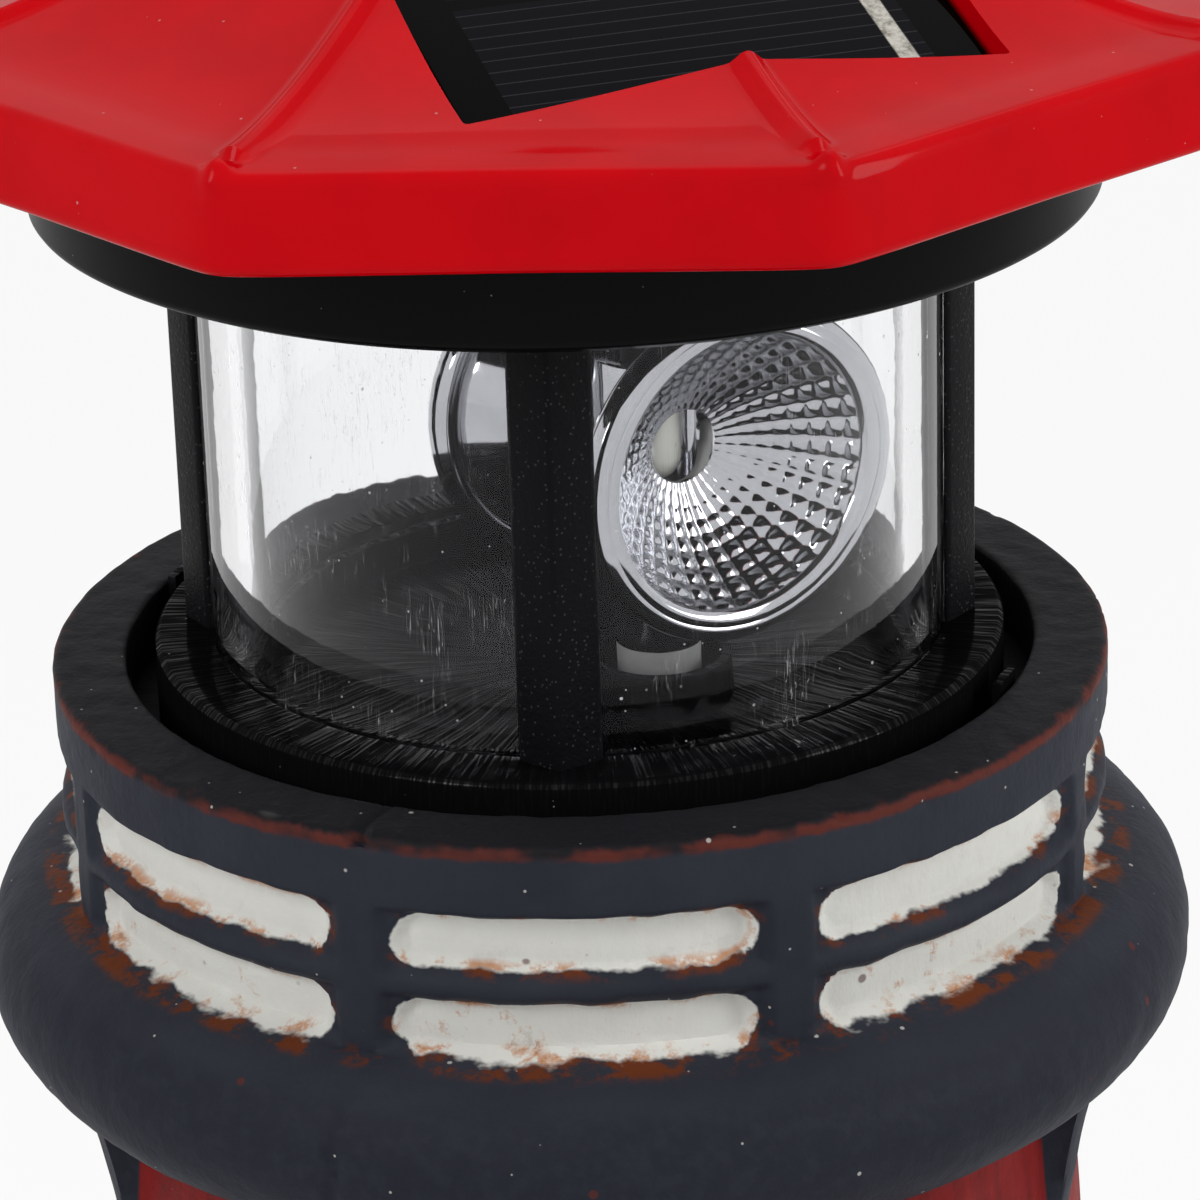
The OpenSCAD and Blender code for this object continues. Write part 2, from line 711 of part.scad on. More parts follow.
module bracket_screws() {
    color("silver") at_lantern() for (s = [-1, 1]) translate(pillar_at(s))
        screw(bracket_z - screw_head_h, screw_head_h + bracket_t + bracket_bite - slip);
}
motor_nose_r = 3;
motor_base_z = bracket_z - motor_h;
module motor() {
    color([0.72, 0.72, 0.74]) at_motor() difference() {
        union() {
            translate([0, 0, motor_base_z]) cylinder(r = motor_r, h = motor_h);
            translate([0, 0, bracket_z - over]) cylinder(r = motor_nose_r, h = over + bracket_t);
        }
        translate([0, 0, motor_base_z + 2]) cylinder(r = motor_shaft_r + run_fit, h = motor_h + 5);
        translate([0, 0, motor_base_z + 2]) cylinder(r = 3 * motor_shaft_r, h = 3);
    }
}

// ---- Cup under the flange ----

board_w = 15;
board_d = 15;
circuit_t = 1.2;
board_x = 9;
board_y = 3.5;
board_z = motor_base_z + 1;
board_pins = [[board_x + 2.2, board_y + board_d - 2.2], [board_x + board_w - 2.2, board_y + 2.2]];
pin_r = 0.85;
switch_x = -14;
switch_y = 15;
switch_w = 12;
switch_d = 6;
switch_h = 5;
// The walls that hold the battery cell
module cell_bay() {
    side_h = 9;
    end_h = 12;
    translate([0, cell_y, cup_floor - 0.5]) for (s = [-1, 1]) {
        translate([-bay_end - bay_wall, s * (bay_side + bay_wall / 2) - bay_wall / 2, 0])
            cube([2 * (bay_end + bay_wall), bay_wall, side_h]);
        translate([s * (bay_end + bay_wall / 2) - bay_wall / 2, -bay_side, 0])
            cube([bay_wall, 2 * bay_side, end_h]);
    }
}
// Outline of the battery door, grown by a margin
module door_outline(margin) {
    l = hatch_l + 2 * (door_lip + margin);
    w = hatch_w + 2 * (door_lip + margin);
    translate([-l / 2, cell_y - w / 2]) square([l, w]);
    translate([0, lug_y]) circle(r = lug_r + margin);
    translate([-lug_r - margin, cell_y]) square([2 * (lug_r + margin), lug_y - cell_y]);
}
module base_cup() {
    color([0.09, 0.09, 0.1]) at_lantern() difference() {
        union() {
            tube(cup_r, cup_r - cup_wall, cup_floor, floor_z);
            tube(flange_r - flange_wall - slip, well_r + flange_wall + slip, -skirt_h, plate_z);
            translate([0, 0, cup_bottom]) cylinder(r = cup_r, h = cup_floor - cup_bottom);
            intersection() {
                cell_bay();
                translate([0, 0, cup_bottom]) cylinder(r = cup_r - 0.5, h = cup_depth);
            }
            translate([0, lug_y, cup_floor - 0.5]) cylinder(r = lug_boss_r, h = lug_boss_h);
            for (pin = board_pins) translate([pin[0], pin[1], cup_floor - 0.5]) {
                cylinder(r = 1.9, h = board_z - cup_floor + 0.5);
                cylinder(r = pin_r, h = board_z - cup_floor + 0.5 + circuit_t + 0.5);
            }
        }
        translate([0, 0, cup_bottom - over]) linear_extrude(over + door_t + slip) door_outline(0);
        translate([-hatch_l / 2, cell_y - hatch_w / 2, cup_bottom - over])
            cube([hatch_l, hatch_w, over + hatch_t]);
        translate([0, lug_y, cup_bottom - over]) cylinder(r = screw_r, h = over + door_screw_bite + 1.5);
        translate([switch_x - 1.7 - switch_travel, switch_y - 1.8, cup_bottom - over])
            cube([3.4 + switch_travel, 3.6, 4]);
        post_screw_holes(-skirt_h);
    }
}
module battery_cell() {
    color([0.2, 0.45, 0.3]) at_lantern() translate([-cell_l / 2 + contact_t, cell_y, cell_z])
        rotate([0, 90, 0]) {
            cylinder(r = cell_r, h = cell_l - 1.8);
            cylinder(r = cell_r * 0.4, h = cell_l - contact_t);
        }
}
module battery_contacts() {
    plate_w = 9;
    plate_h = 10;
    back = contact_room - 0.1;
    color([0.8, 0.8, 0.78]) at_lantern() {
        translate([cell_l / 2, cell_y - plate_w / 2, cell_z - plate_h / 2])
            cube([contact_t, plate_w, plate_h]);
        translate([cell_l / 2, cell_y - 1.5, cell_z - 1.5]) cube([back, 3, 3]);
        translate([-cell_l / 2 - back, cell_y, cell_z]) {
            translate([0, -plate_w / 2, -plate_h / 2]) cube([contact_t, plate_w, plate_h]);
            rotate([0, 90, 0]) cylinder(r1 = 4.4, r2 = 2.2, h = back + contact_t - 0.1);
        }
    }
}
module battery_door() {
    grips = 5;
    color([0.09, 0.09, 0.1]) at_lantern() difference() {
        translate([0, 0, cup_bottom]) linear_extrude(door_t) door_outline(-slip);
        translate([0, lug_y, cup_bottom - over]) cylinder(r = screw_r, h = over + 2 * door_t);
        for (i = [0 : grips - 1]) translate([-hatch_l / 2 + 4 + i * 1.8, cell_y - 4, cup_bottom - over])
            cube([0.8, 8, over + 0.4]);
    }
}
module door_screw() {
    color("silver") at_lantern() translate([0, lug_y, 0])
        screw(cup_bottom - screw_head_h, screw_head_h + door_screw_bite);
}
module circuit_board() {
    color([0.1, 0.35, 0.15]) at_lantern() difference() {
        translate([board_x, board_y, board_z]) cube([board_w, board_d, circuit_t]);
        for (pin = board_pins) translate([pin[0], pin[1], board_z - over])
            cylinder(r = pin_r + run_fit, h = circuit_t + 2 * over);
    }
}
module board_parts() {
    color([0.12, 0.12, 0.13]) at_lantern() translate([board_x, board_y, board_z + circuit_t]) {
        translate([5, 5.5, 0]) cube([5, 4, 1.6]);
        translate([10.8, 9.5, 0]) cylinder(r = 2, h = 4.5);
        translate([2.5, 3, 0]) cylinder(r = 1.8, h = 3);
        translate([6.5, 11.5, 0]) cube([3.2, 1.6, 1.1]);
    }
}
module switch_body() {
    color([0.2, 0.2, 0.22]) at_lantern() difference() {
        translate([switch_x - (switch_w + switch_travel) / 2, switch_y - switch_d / 2, cup_floor])
            cube([switch_w, switch_d, switch_h]);
        translate([switch_x - 2.3 - switch_travel, switch_y - 2.1, cup_floor - over])
            cube([4.6 + switch_travel, 4.2, over + 3.2]);
    }
}
module switch_slider() {
    color([0.85, 0.85, 0.85]) at_lantern() translate([switch_x, switch_y, 0]) {
        translate([-1.4, -1.5, cup_bottom - 1.2]) cube([2.8, 3, cup_floor - cup_bottom + 1.5]);
        translate([-2, -1.8, cup_floor + 0.25]) cube([4, 3.6, 2.6]);
    }
}

// ---- Beacon: spindle, plated body and the two reflectors ----

module spindle() {
    color([0.92, 0.92, 0.88]) at_beacon() {
        translate([0, 0, gear_z - 0.2]) cylinder(r = shaft_r, h = counter_z + gap - gear_z + 0.5);
        translate([0, 0, counter_z + gap]) cylinder(r = collar_r, h = collar_top - counter_z - gap);
        translate([0, 0, collar_top - 0.5]) cylinder(r = neck_room_r, h = 4);
    }
}
// Outline of a spur gear with straight-sided teeth on a round root
module gear_outline(teeth, pitch_r) {
    root = pitch_r - 1.15 * gear_module;
    tip = pitch_r + 0.9 * gear_module;
    circle(r = root);
    for (i = [0 : teeth - 1]) rotate([0, 0, i * 360 / teeth]) polygon([
        [root - 0.3, -0.86 * gear_module], [root + 0.1, -0.86 * gear_module],
        [pitch_r, -0.7 * gear_module], [tip, -0.34 * gear_module],
        [tip, 0.34 * gear_module], [pitch_r, 0.7 * gear_module],
        [root + 0.1, 0.86 * gear_module], [root - 0.3, 0.86 * gear_module]
    ]);
}
module spindle_gear() {
    color([0.92, 0.92, 0.88]) at_beacon() difference() {
        union() {
            translate([0, 0, gear_z]) rotate([0, 0, motor_az]) linear_extrude(gear_t * 0.6)
                gear_outline(spindle_teeth, spindle_pitch);
            translate([0, 0, gear_z]) cylinder(r = shaft_r + 1.8, h = gear_t);
        }
        translate([0, 0, gear_z - over]) cylinder(r = shaft_r, h = gear_t + 2 * over);
    }
}
module beacon_body() {
    color([0.82, 0.83, 0.86]) at_beacon() facing(beacon_turn) difference() {
        union() {
            translate([0, 0, collar_top]) cylinder(r = stem_r, h = beacon_z - collar_top);
            intersection() {
                translate([0, 0, beacon_z - body_drop]) cylinder(r = body_r, h = body_h);
                translate([-body_r, -body_flat, 0]) cube([2 * body_r, 2 * body_flat, beacon_z + body_h]);
            }
        }
        translate([0, 0, collar_top - over]) cylinder(r = neck_room_r, h = over + 3.5);
        translate([0, 0, beacon_z - body_bore_drop]) cylinder(r = body_bore_r, h = through);
        translate([0, body_flat + over, beacon_z]) rotate([90, 0, 0])
            cylinder(r = throat_r, h = 2 * (body_flat + over));
    }
}
bowl_depth = rim_reach - body_flat;
bowl_rings = 6;
bowl_facets = 28;
// Radius of the bowl at a distance from its seat, on a parabola through the throat and the mouth
function bowl_r(d) = sqrt(pow(throat_r, 2) + (pow(mouth_r, 2) - pow(throat_r, 2)) * d / bowl_depth);
function bowl_at(i) = bowl_depth * pow(i / bowl_rings, 1.6);
// The faceted inside of the bowl, along +Z from the throat to the mouth
module bowl_inside() {
    ring_points = [for (i = [0 : bowl_rings]) for (k = [0 : bowl_facets - 1])
        let (a = (k + (i % 2) / 2) * 360 / bowl_facets)
        [bowl_r(bowl_at(i)) * cos(a), bowl_r(bowl_at(i)) * sin(a), bowl_at(i)]];
    end_points = [for (k = [0 : bowl_facets - 1]) let (a = (k + (bowl_rings % 2) / 2) * 360 / bowl_facets)
        [mouth_r * cos(a), mouth_r * sin(a), bowl_depth + over]];
    start_points = [for (k = [0 : bowl_facets - 1]) let (a = k * 360 / bowl_facets)
        [throat_r * cos(a), throat_r * sin(a), -over]];
    points = concat(start_points, ring_points, end_points);
    rows = bowl_rings + 3;
    function corner(row, k) = row * bowl_facets + (k % bowl_facets);
    // A row whose corners sit half a facet on joins the next one the other way round
    function leans(row) = row == 0 ? false : row == rows - 2 ? false : (row - 1) % 2 == 1;
    faces = concat(
        [[for (k = [0 : bowl_facets - 1]) corner(0, k)]],
        [[for (k = [bowl_facets - 1 : -1 : 0]) corner(rows - 1, k)]],
        [for (row = [0 : rows - 2]) for (k = [0 : bowl_facets - 1])
            leans(row) ? [corner(row, k), corner(row + 1, k + 1), corner(row, k + 1)]
                       : [corner(row, k), corner(row + 1, k), corner(row, k + 1)]],
        [for (row = [0 : rows - 2]) for (k = [0 : bowl_facets - 1])
            leans(row) ? [corner(row, k), corner(row + 1, k), corner(row + 1, k + 1)]
                       : [corner(row, k + 1), corner(row + 1, k), corner(row + 1, k + 1)]]
    );
    polyhedron(points, faces, convexity = 6);
}
module reflector() {
    steps = 8;
    difference() {
        union() {
            rotate_extrude() polygon(concat(
                [[0, 0], [throat_r + bowl_wall + 0.3, 0]],
                [for (i = [1 : steps]) let (d = (bowl_depth - rim_t) * i / steps) [bowl_r(d) + bowl_wall, d]],
                [[0, bowl_depth - rim_t]]
            ));
            translate([0, 0, bowl_depth - rim_t]) cylinder(r = rim_r, h = rim_t);
        }
        bowl_inside();
        // The groove that makes the rim a double ring
        translate([0, 0, bowl_depth - 0.4]) difference() {
            cylinder(r = rim_r - 0.5, h = 1);
            translate([0, 0, -over]) cylinder(r = rim_r - rim_w + 0.5, h = 3);
        }
    }
}
module at_reflector(side) {
    at_beacon() facing(beacon_turn + side) translate([0, -body_flat, beacon_z]) rotate([90, 0, 0]) children();
}
module front_reflector() { color([0.85, 0.86, 0.9]) at_reflector(0) reflector(); }
module rear_reflector() { color([0.85, 0.86, 0.9]) at_reflector(180) reflector(); }

module motor_shaft() {
    color([0.8, 0.8, 0.82]) at_motor() {
        translate([0, 0, motor_base_z + 2.2]) cylinder(r = motor_shaft_r, h = gear_top - motor_base_z - 2.2);
        translate([0, 0, motor_base_z + 2.3]) cylinder(r = 2.4 * motor_shaft_r, h = 2.2);
    }
}
module pinion() {
    color([0.9, 0.75, 0.35]) at_motor() difference() {
        translate([0, 0, gear_z]) rotate([0, 0, motor_az + 180 + 180 / pinion_teeth])
            linear_extrude(gear_t * 0.8) gear_outline(pinion_teeth, pinion_pitch);
        translate([0, 0, gear_z - over]) cylinder(r = motor_shaft_r, h = gear_t + 2 * over);
    }
}

tower_casting();
anti_slip_pads();
roof_shell();
panel_board();
solar_cells();
cell_ribbons();
panel_resin();
upper_housing();
lens_cage();
roof_screws();
lens_tube();
lens_seals();
lamp_carrier();
lamp();
base_flange();
post_screws();
motor_bracket();
bracket_screws();
motor();
base_cup();
battery_cell();
battery_contacts();
battery_door();
door_screw();
circuit_board();
board_parts();
switch_body();
switch_slider();
spindle();
spindle_gear();
beacon_body();
front_reflector();
rear_reflector();
motor_shaft();
pinion();
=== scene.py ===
import logging
import math
from dataclasses import dataclass
from enum import Enum
from typing import Callable, Iterable, Sequence, Union

import bmesh
import bpy
import numpy as np
from mathutils import Matrix, Vector, noise


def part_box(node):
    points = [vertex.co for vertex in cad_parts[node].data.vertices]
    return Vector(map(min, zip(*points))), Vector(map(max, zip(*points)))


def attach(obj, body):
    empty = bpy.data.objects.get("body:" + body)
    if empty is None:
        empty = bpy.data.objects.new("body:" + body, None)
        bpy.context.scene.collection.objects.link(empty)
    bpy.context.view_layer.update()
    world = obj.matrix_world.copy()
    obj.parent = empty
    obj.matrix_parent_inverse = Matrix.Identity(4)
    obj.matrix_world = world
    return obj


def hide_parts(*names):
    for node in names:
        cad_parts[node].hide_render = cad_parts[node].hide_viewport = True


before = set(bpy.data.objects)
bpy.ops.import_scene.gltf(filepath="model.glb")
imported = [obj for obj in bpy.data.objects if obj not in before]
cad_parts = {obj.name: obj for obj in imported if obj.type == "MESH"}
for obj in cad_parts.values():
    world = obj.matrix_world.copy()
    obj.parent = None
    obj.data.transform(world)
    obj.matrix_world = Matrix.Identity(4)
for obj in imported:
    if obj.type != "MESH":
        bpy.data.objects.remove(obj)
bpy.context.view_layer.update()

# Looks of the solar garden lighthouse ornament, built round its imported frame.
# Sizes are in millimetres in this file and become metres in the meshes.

LOG = logging.getLogger("lighthouse")
MM = 0.001

Colour = tuple[float, float, float]
Point = tuple[float, float, float]
Outline = Sequence[tuple[float, float]]
Mesh = bmesh.types.BMesh
Material = bpy.types.Material
Socket = bpy.types.NodeSocket
Source = Union["Num", Socket, float, tuple]


def high(node: str) -> float:
    """Height of a CAD node's highest corner, in millimetres."""
    return (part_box(node)[1] / MM).z


FLANGE_Z = high("base_flange")
GALLERY_Z = high("tower_casting")


# ---------------------------------------------------------------- shader maths

class Num:
    """A number socket of a material, so that a sum on it reads as plain maths."""

    def __init__(self, recipe: "Recipe", socket: Socket) -> None:
        """Wraps a socket of the recipe's node tree."""
        self.recipe = recipe
        self.socket = socket

    def maths(self, operation: str, *others: Source) -> "Num":
        """Adds one Math node.

        Args:
            operation: the node's operation.
            others: its further inputs.

        Returns:
            The node's result.
        """
        inputs = dict(enumerate((self, *others)))
        node = self.recipe.node("ShaderNodeMath", {"operation": operation}, inputs)
        return Num(self.recipe, node.outputs[0])

    def __add__(self, other: Source) -> "Num":
        """Sum."""
        return self.maths("ADD", other)

    __radd__ = __add__

    def __sub__(self, other: Source) -> "Num":
        """Difference."""
        return self.maths("SUBTRACT", other)

    def __rsub__(self, other: float) -> "Num":
        """Difference from a plain number."""
        return (self * -1.0).maths("ADD", other)

    def __mul__(self, other: Source) -> "Num":
        """Product."""
        return self.maths("MULTIPLY", other)

    __rmul__ = __mul__

    def __truediv__(self, other: Source) -> "Num":
        """Quotient."""
        return self.maths("DIVIDE", other)

    def __abs__(self) -> "Num":
        """Size without its sign."""
        return self.maths("ABSOLUTE")

    def most(self, other: Source) -> "Num":
        """The larger of two values."""
        return self.maths("MAXIMUM", other)

    def least(self, other: Source) -> "Num":
        """The smaller of two values."""
        return self.maths("MINIMUM", other)

    def step(self, start: float, end: float) -> "Num":
        """A smooth rise from 0 to 1, or a fall from 1 to 0 where end is the lower.

        Args:
            start: the value at which the result is 0.
            end: the value at which it is 1.

        Returns:
            The rise or fall.
        """
        limits = {0: self, 1: min(start, end), 2: max(start, end)}
        node = self.recipe.node("ShaderNodeMapRange", {"interpolation_type": "SMOOTHSTEP"}, limits)
        rise = Num(self.recipe, node.outputs[0])
        return rise if start < end else 1.0 - rise


class Recipe:
    """A material's node tree, with one method that adds any node."""

    def __init__(self, name: str) -> None:
        """Starts a material with its shader and output.

        Args:
            name: the material's name.
        """
        self.material = bpy.data.materials.new(name)
        self.material.use_nodes = True
        self.tree = self.material.node_tree
        self.shader = self.tree.nodes["Principled BSDF"]

    def node(self, kind: str, settings: dict, inputs: dict) -> bpy.types.Node:
        """Adds a node.

        Args:
            kind: the node's type.
            settings: its own settings.
            inputs: values or links, by the sockets' names or numbers.

        Returns:
            The new node.
        """
        node = self.tree.nodes.new(kind)
        for key, value in settings.items():
            setattr(node, key, value)
        for key, value in inputs.items():
            self.feed(node.inputs[key], value)
        return node

    def feed(self, socket: Socket, value: Source) -> None:
        """Sets a socket to a value, or links it.

        Args:
            socket: the socket that is fed.
            value: a number, a colour or vector, or what is linked to it.
        """
        if isinstance(value, Num):
            self.tree.links.new(value.socket, socket)
        elif isinstance(value, bpy.types.NodeSocket):
            self.tree.links.new(value, socket)
        elif isinstance(value, tuple) and socket.type == "RGBA":
            socket.default_value = (*value, 1.0)[:4]
        else:
            socket.default_value = value

    def place(self, scale: Point = (1.0, 1.0, 1.0)) -> Socket:
        """Object coordinates in millimetres, scaled.

        Args:
            scale: factors along the three axes.

        Returns:
            The coordinates.
        """
        coords = self.node("ShaderNodeTexCoord", {}, {}).outputs["Object"]
        scale_metres = tuple(factor / MM for factor in scale)
        return self.node("ShaderNodeMapping", {}, {"Vector": coords, "Scale": scale_metres}).outputs[0]

    def axes(self, place: Socket) -> tuple[Num, Num, Num]:
        """The three numbers of a place."""
        split = self.node("ShaderNodeSeparateXYZ", {}, {0: place})
        return tuple(Num(self, out) for out in split.outputs)

    def polar(self) -> tuple[Num, Num, Num]:
        """Radius, angle from the front in radians, and height.

        Returns:
            The three numbers, with the lengths in millimetres.
        """
        x, y, z = self.axes(self.place())
        radius = (x * x + y * y).maths("SQRT")
        return radius, x.maths("ARCTAN2", y * -1.0), z

    def vector(self, operation: str, first: Source, second: Source) -> Socket:
        """The result of one Vector Math node."""
        return self.node("ShaderNodeVectorMath", {"operation": operation}, {0: first, 1: second}).outputs[0]

    def noise_at(self, place: Socket, detail: float, rough: float = 0.5) -> Num:
        """Smooth noise from 0 to 1, read at given coordinates.

        Args:
            place: the coordinates, in blotches.
            detail: number of finer layers.
            rough: strength of the finer layers.

        Returns:
            The noise's value.
        """
        inputs = {"Vector": place, "Scale": 1.0, "Detail": detail, "Roughness": rough}
        return Num(self, self.node("ShaderNodeTexNoise", {}, inputs).outputs[0])

    def noise(self, size: float, detail: float = 3.0, rough: float = 0.5,
              stretch: Point = (1.0, 1.0, 1.0), seed: float = 0.0) -> Num:
        """Smooth noise from 0 to 1.

        Args:
            size: size of a blotch, in millimetres.
            detail: number of finer layers.
            rough: strength of the finer layers.
            stretch: factors on the blotches' frequency along the three axes.
            seed: shifts the pattern.

        Returns:
            The noise's value.
        """
        place = self.place(tuple(factor / size for factor in stretch))
        shifted = self.vector("ADD", place, (seed, seed * 1.7, seed * 0.6))
        return self.noise_at(shifted, detail, rough)

    def specks(self, size: float, amount: float, seed: float = 0.0) -> Num:
        """Scattered dots: 1 in a dot, 0 between.

        Args:
            size: distance between cells, in millimetres.
            amount: share of a cell's width that a dot may take.
            seed: shifts the pattern.

        Returns:
            The dots' mask.
        """
        shifted = self.vector("ADD", self.place((1 / size,) * 3), (seed,) * 3)
        cells = self.node("ShaderNodeTexVoronoi", {}, {"Vector": shifted, "Scale": 1.0})
        return Num(self, cells.outputs["Distance"]).step(amount, amount * 0.6)

    def mix(self, share: Source, base: Source, over: Source) -> Socket:
        """A colour between two colours."""
        return self.node("ShaderNodeMix", {"data_type": "RGBA"}, {0: share, 6: base, 7: over}).outputs[2]

    def bump(self, height: Source, depth: float) -> Socket:
        """A normal bumped by heights from 0 to 1, where 1 stands for a depth in millimetres."""
        inputs = {"Height": height, "Distance": depth * MM, "Strength": 1.0}
        return self.node("ShaderNodeBump", {}, inputs).outputs[0]

    def finish(self, **sockets: Source) -> Material:
        """Feeds the shader's sockets.

        Args:
            sockets: what feeds each socket, by its name with _ for a space.

        Returns:
            The finished material.
        """
        for name, value in sockets.items():
            self.feed(self.shader.inputs[name.replace("_", " ")], value)
        return self.material

    def overlay(self, share: Source, over: bpy.types.Node) -> Material:
        """Lays a second shader over the first.

        Args:
            share: how much of the second shows, from 0 to 1.
            over: the second shader.

        Returns:
            The finished material.
        """
        inputs = {0: share, 1: self.shader.outputs[0], 2: over.outputs[0]}
        both = self.node("ShaderNodeMixShader", {}, inputs)
        self.feed(self.tree.nodes["Material Output"].inputs["Surface"], both.outputs[0])
        return self.material


# -------------------------------------------------------------- tower's sizes

# The angle of one of the gallery's eight bays, and the casting's turn from the front, in degrees.
BAY = 45.0
TOWER_TURN = 1.6


def ease(value: np.ndarray, start: float, end: float) -> np.ndarray:
    """A smooth rise from 0 at start to 1 at end."""
    share = np.clip((value - start) / (end - start), 0.0, 1.0)
    return share * share * (3.0 - 2.0 * share)


@dataclass(frozen=True)
class Gallery:
    """Sizes of the gallery, with its heights counted from its upper face."""

    wall_r: float = 50.0
    edge: float = 0.9
    recess_r: float = 43.0
    lip: float = 0.5
    bore_r: float = 38.6
    ledge: float = -6.4
    post_half: float = 2.2
    bay_low: float = -21.0
    bay_high: float = -6.6
    bay_depth: float = 0.9
    slot_mids: tuple[float, float] = (-10.0, -18.3)
    slot_half: float = 2.5
    slot_reach: float = 13.7
    slot_depth: float = 1.15
    rail_z: float = -14.1
    rail_r: float = 1.2
    rail_proud: float = 0.85
    wall_foot: float = -21.4
    roll_r: float = 49.1
    roll_tube: float = 8.9
    roll_z: float = -29.8
    neck_r: float = 46.2
    crease_z: float = -38.2
    seam_azimuth: float = -20.4

    def recess(self, azimuth: np.ndarray, up: np.ndarray, waver: np.ndarray) -> np.ndarray:
        """How deep the bays and their slots lie, less the rail that crosses them.

        Args:
            azimuth: angles from the front, in degrees.
            up: heights above the upper face.
            waver: unevenness of the bays' sides.

        Returns:
            The depths.
        """
        in_bay = (azimuth - TOWER_TURN + BAY / 2) % BAY - BAY / 2
        across = np.radians(np.abs(in_bay)) * self.wall_r + waver * 0.3
        post = np.radians(BAY / 2) * self.wall_r - self.post_half
        bay = 1.0 - ease(across, post - 0.5, post + 0.45)
        bay = bay * ease(up, self.bay_low, self.bay_low + 0.9)
        bay = bay * (1.0 - ease(up, self.bay_high - 0.8, self.bay_high))
        past = np.maximum(across - self.slot_reach, 0.0)
        far = np.minimum(*(np.hypot(up - mid, past) for mid in self.slot_mids)) - self.slot_half
        slot = 1.0 - ease(far, -0.5, 0.3)
        rail = np.sqrt(np.clip(1.0 - ((up - self.rail_z) / self.rail_r) ** 2, 0.0, 1.0))
        return bay * (self.bay_depth + slot * self.slot_depth - rail * self.rail_proud)


@dataclass(frozen=True)
class Arch:
    """A round-headed window of the tower, or its door."""

    azimuth: float
    sill_z: float
    width: float = 10.0
    side: float = 11.0
    door: bool = False


@dataclass(frozen=True)
class Shaft:
    """Sizes of the tower's wall, its brackets, windows, door and plinth."""

    foot_r: float = 61.0
    step_z: float = 24.0
    slope: float = 0.0782
    plinth_r: float = 75.0
    plinth_z: float = 15.0
    step_r: float = 69.0
    hollow_r: float = 55.0
    hollow_top: float = 195.6
    pad_z: float = 2.0
    door_step_r: float = 11.5
    door_step_z: float = 25.6
    bracket_z: float = 196.75
    bracket_h: float = 21.0
    bracket_half: float = 2.3
    bracket_reach: float = 5.8
    bracket_foot: float = 0.9
    frame_w: float = 2.2
    proud: float = 1.6
    pane: float = 1.4
    bar: float = 1.1
    plank_w: float = 3.4
    plank_gap: float = 0.35
    arches: tuple[Arch, ...] = (
        Arch(0.0, 25.6, 17.0, 23.0, door=True), Arch(0.0, 92.15), Arch(0.0, 162.2),
        Arch(120.0, 128.1), Arch(240.0, 128.1))

    def wall(self, z: np.ndarray) -> np.ndarray:
        """Radius of the bare wall at a height."""
        return self.foot_r - (z - self.step_z) * self.slope

    def arch_relief(self, azimuth: np.ndarray, z: np.ndarray) -> np.ndarray:
        """How far the frames stand proud of the wall, and the panes lie behind it.

        Args:
            azimuth: angles from the front, in degrees.
            z: heights.

        Returns:
            The relief, outwards.
        """
        relief = np.zeros_like(z)
        for arch in self.arches:
            off = (azimuth - TOWER_TURN - arch.azimuth + 180.0) % 360.0 - 180.0
            x = np.radians(off) * self.wall(z)
            y = z - arch.sill_z
            over = np.hypot(x, np.maximum(y - arch.side, 0.0)) - arch.width / 2
            far = np.where(y > 0, over, np.maximum(np.abs(x) - arch.width / 2, -y))
            inside = 1.0 - ease(far, -0.35, 0.15)
            rim = (1.0 - ease(far, self.frame_w - 0.45, self.frame_w + 0.35)) * (1.0 - inside)
            if arch.door:
                fill = -self.plank_gap * (np.abs(((x / self.plank_w) % 1.0) - 0.5) > 0.42)
            else:
                upright = 1.0 - ease(np.abs(x), 0.45, 0.95)
                level = 1.0 - ease(np.abs(y - arch.side * 0.6), 0.45, 0.95)
                fill = np.maximum(upright, level) * self.bar
            near = np.abs(x) < arch.width
            relief += near * (rim * self.proud - inside * (self.pane - fill))
        return relief

    def bracket_relief(self, azimuth: np.ndarray, z: np.ndarray) -> np.ndarray:
        """How far the brackets under the roll stand proud of the wall.

        Args:
            azimuth: angles from the front, in degrees.
            z: heights.

        Returns:
            The relief, outwards.
        """
        off = (azimuth - TOWER_TURN) % BAY - BAY / 2
        x = np.abs(np.radians(off)) * self.wall(z)
        rise = np.clip((z - self.bracket_z) / self.bracket_h, 0.0, 1.0)
        foot = ease(z, self.bracket_z - 0.6, self.bracket_z + 0.9) * self.bracket_foot
        face = (rise ** 1.2) * self.bracket_reach + foot
        return face * (1.0 - ease(x, self.bracket_half - 0.7, self.bracket_half + 0.5))


# ------------------------------------------------------------------- finishes

def sunk(z: Num, start: float, end: float) -> Num:
    """A smooth rise from 0 to 1 between two depths below the gallery's upper face."""
    return z.step(GALLERY_Z - start, GALLERY_Z - end)


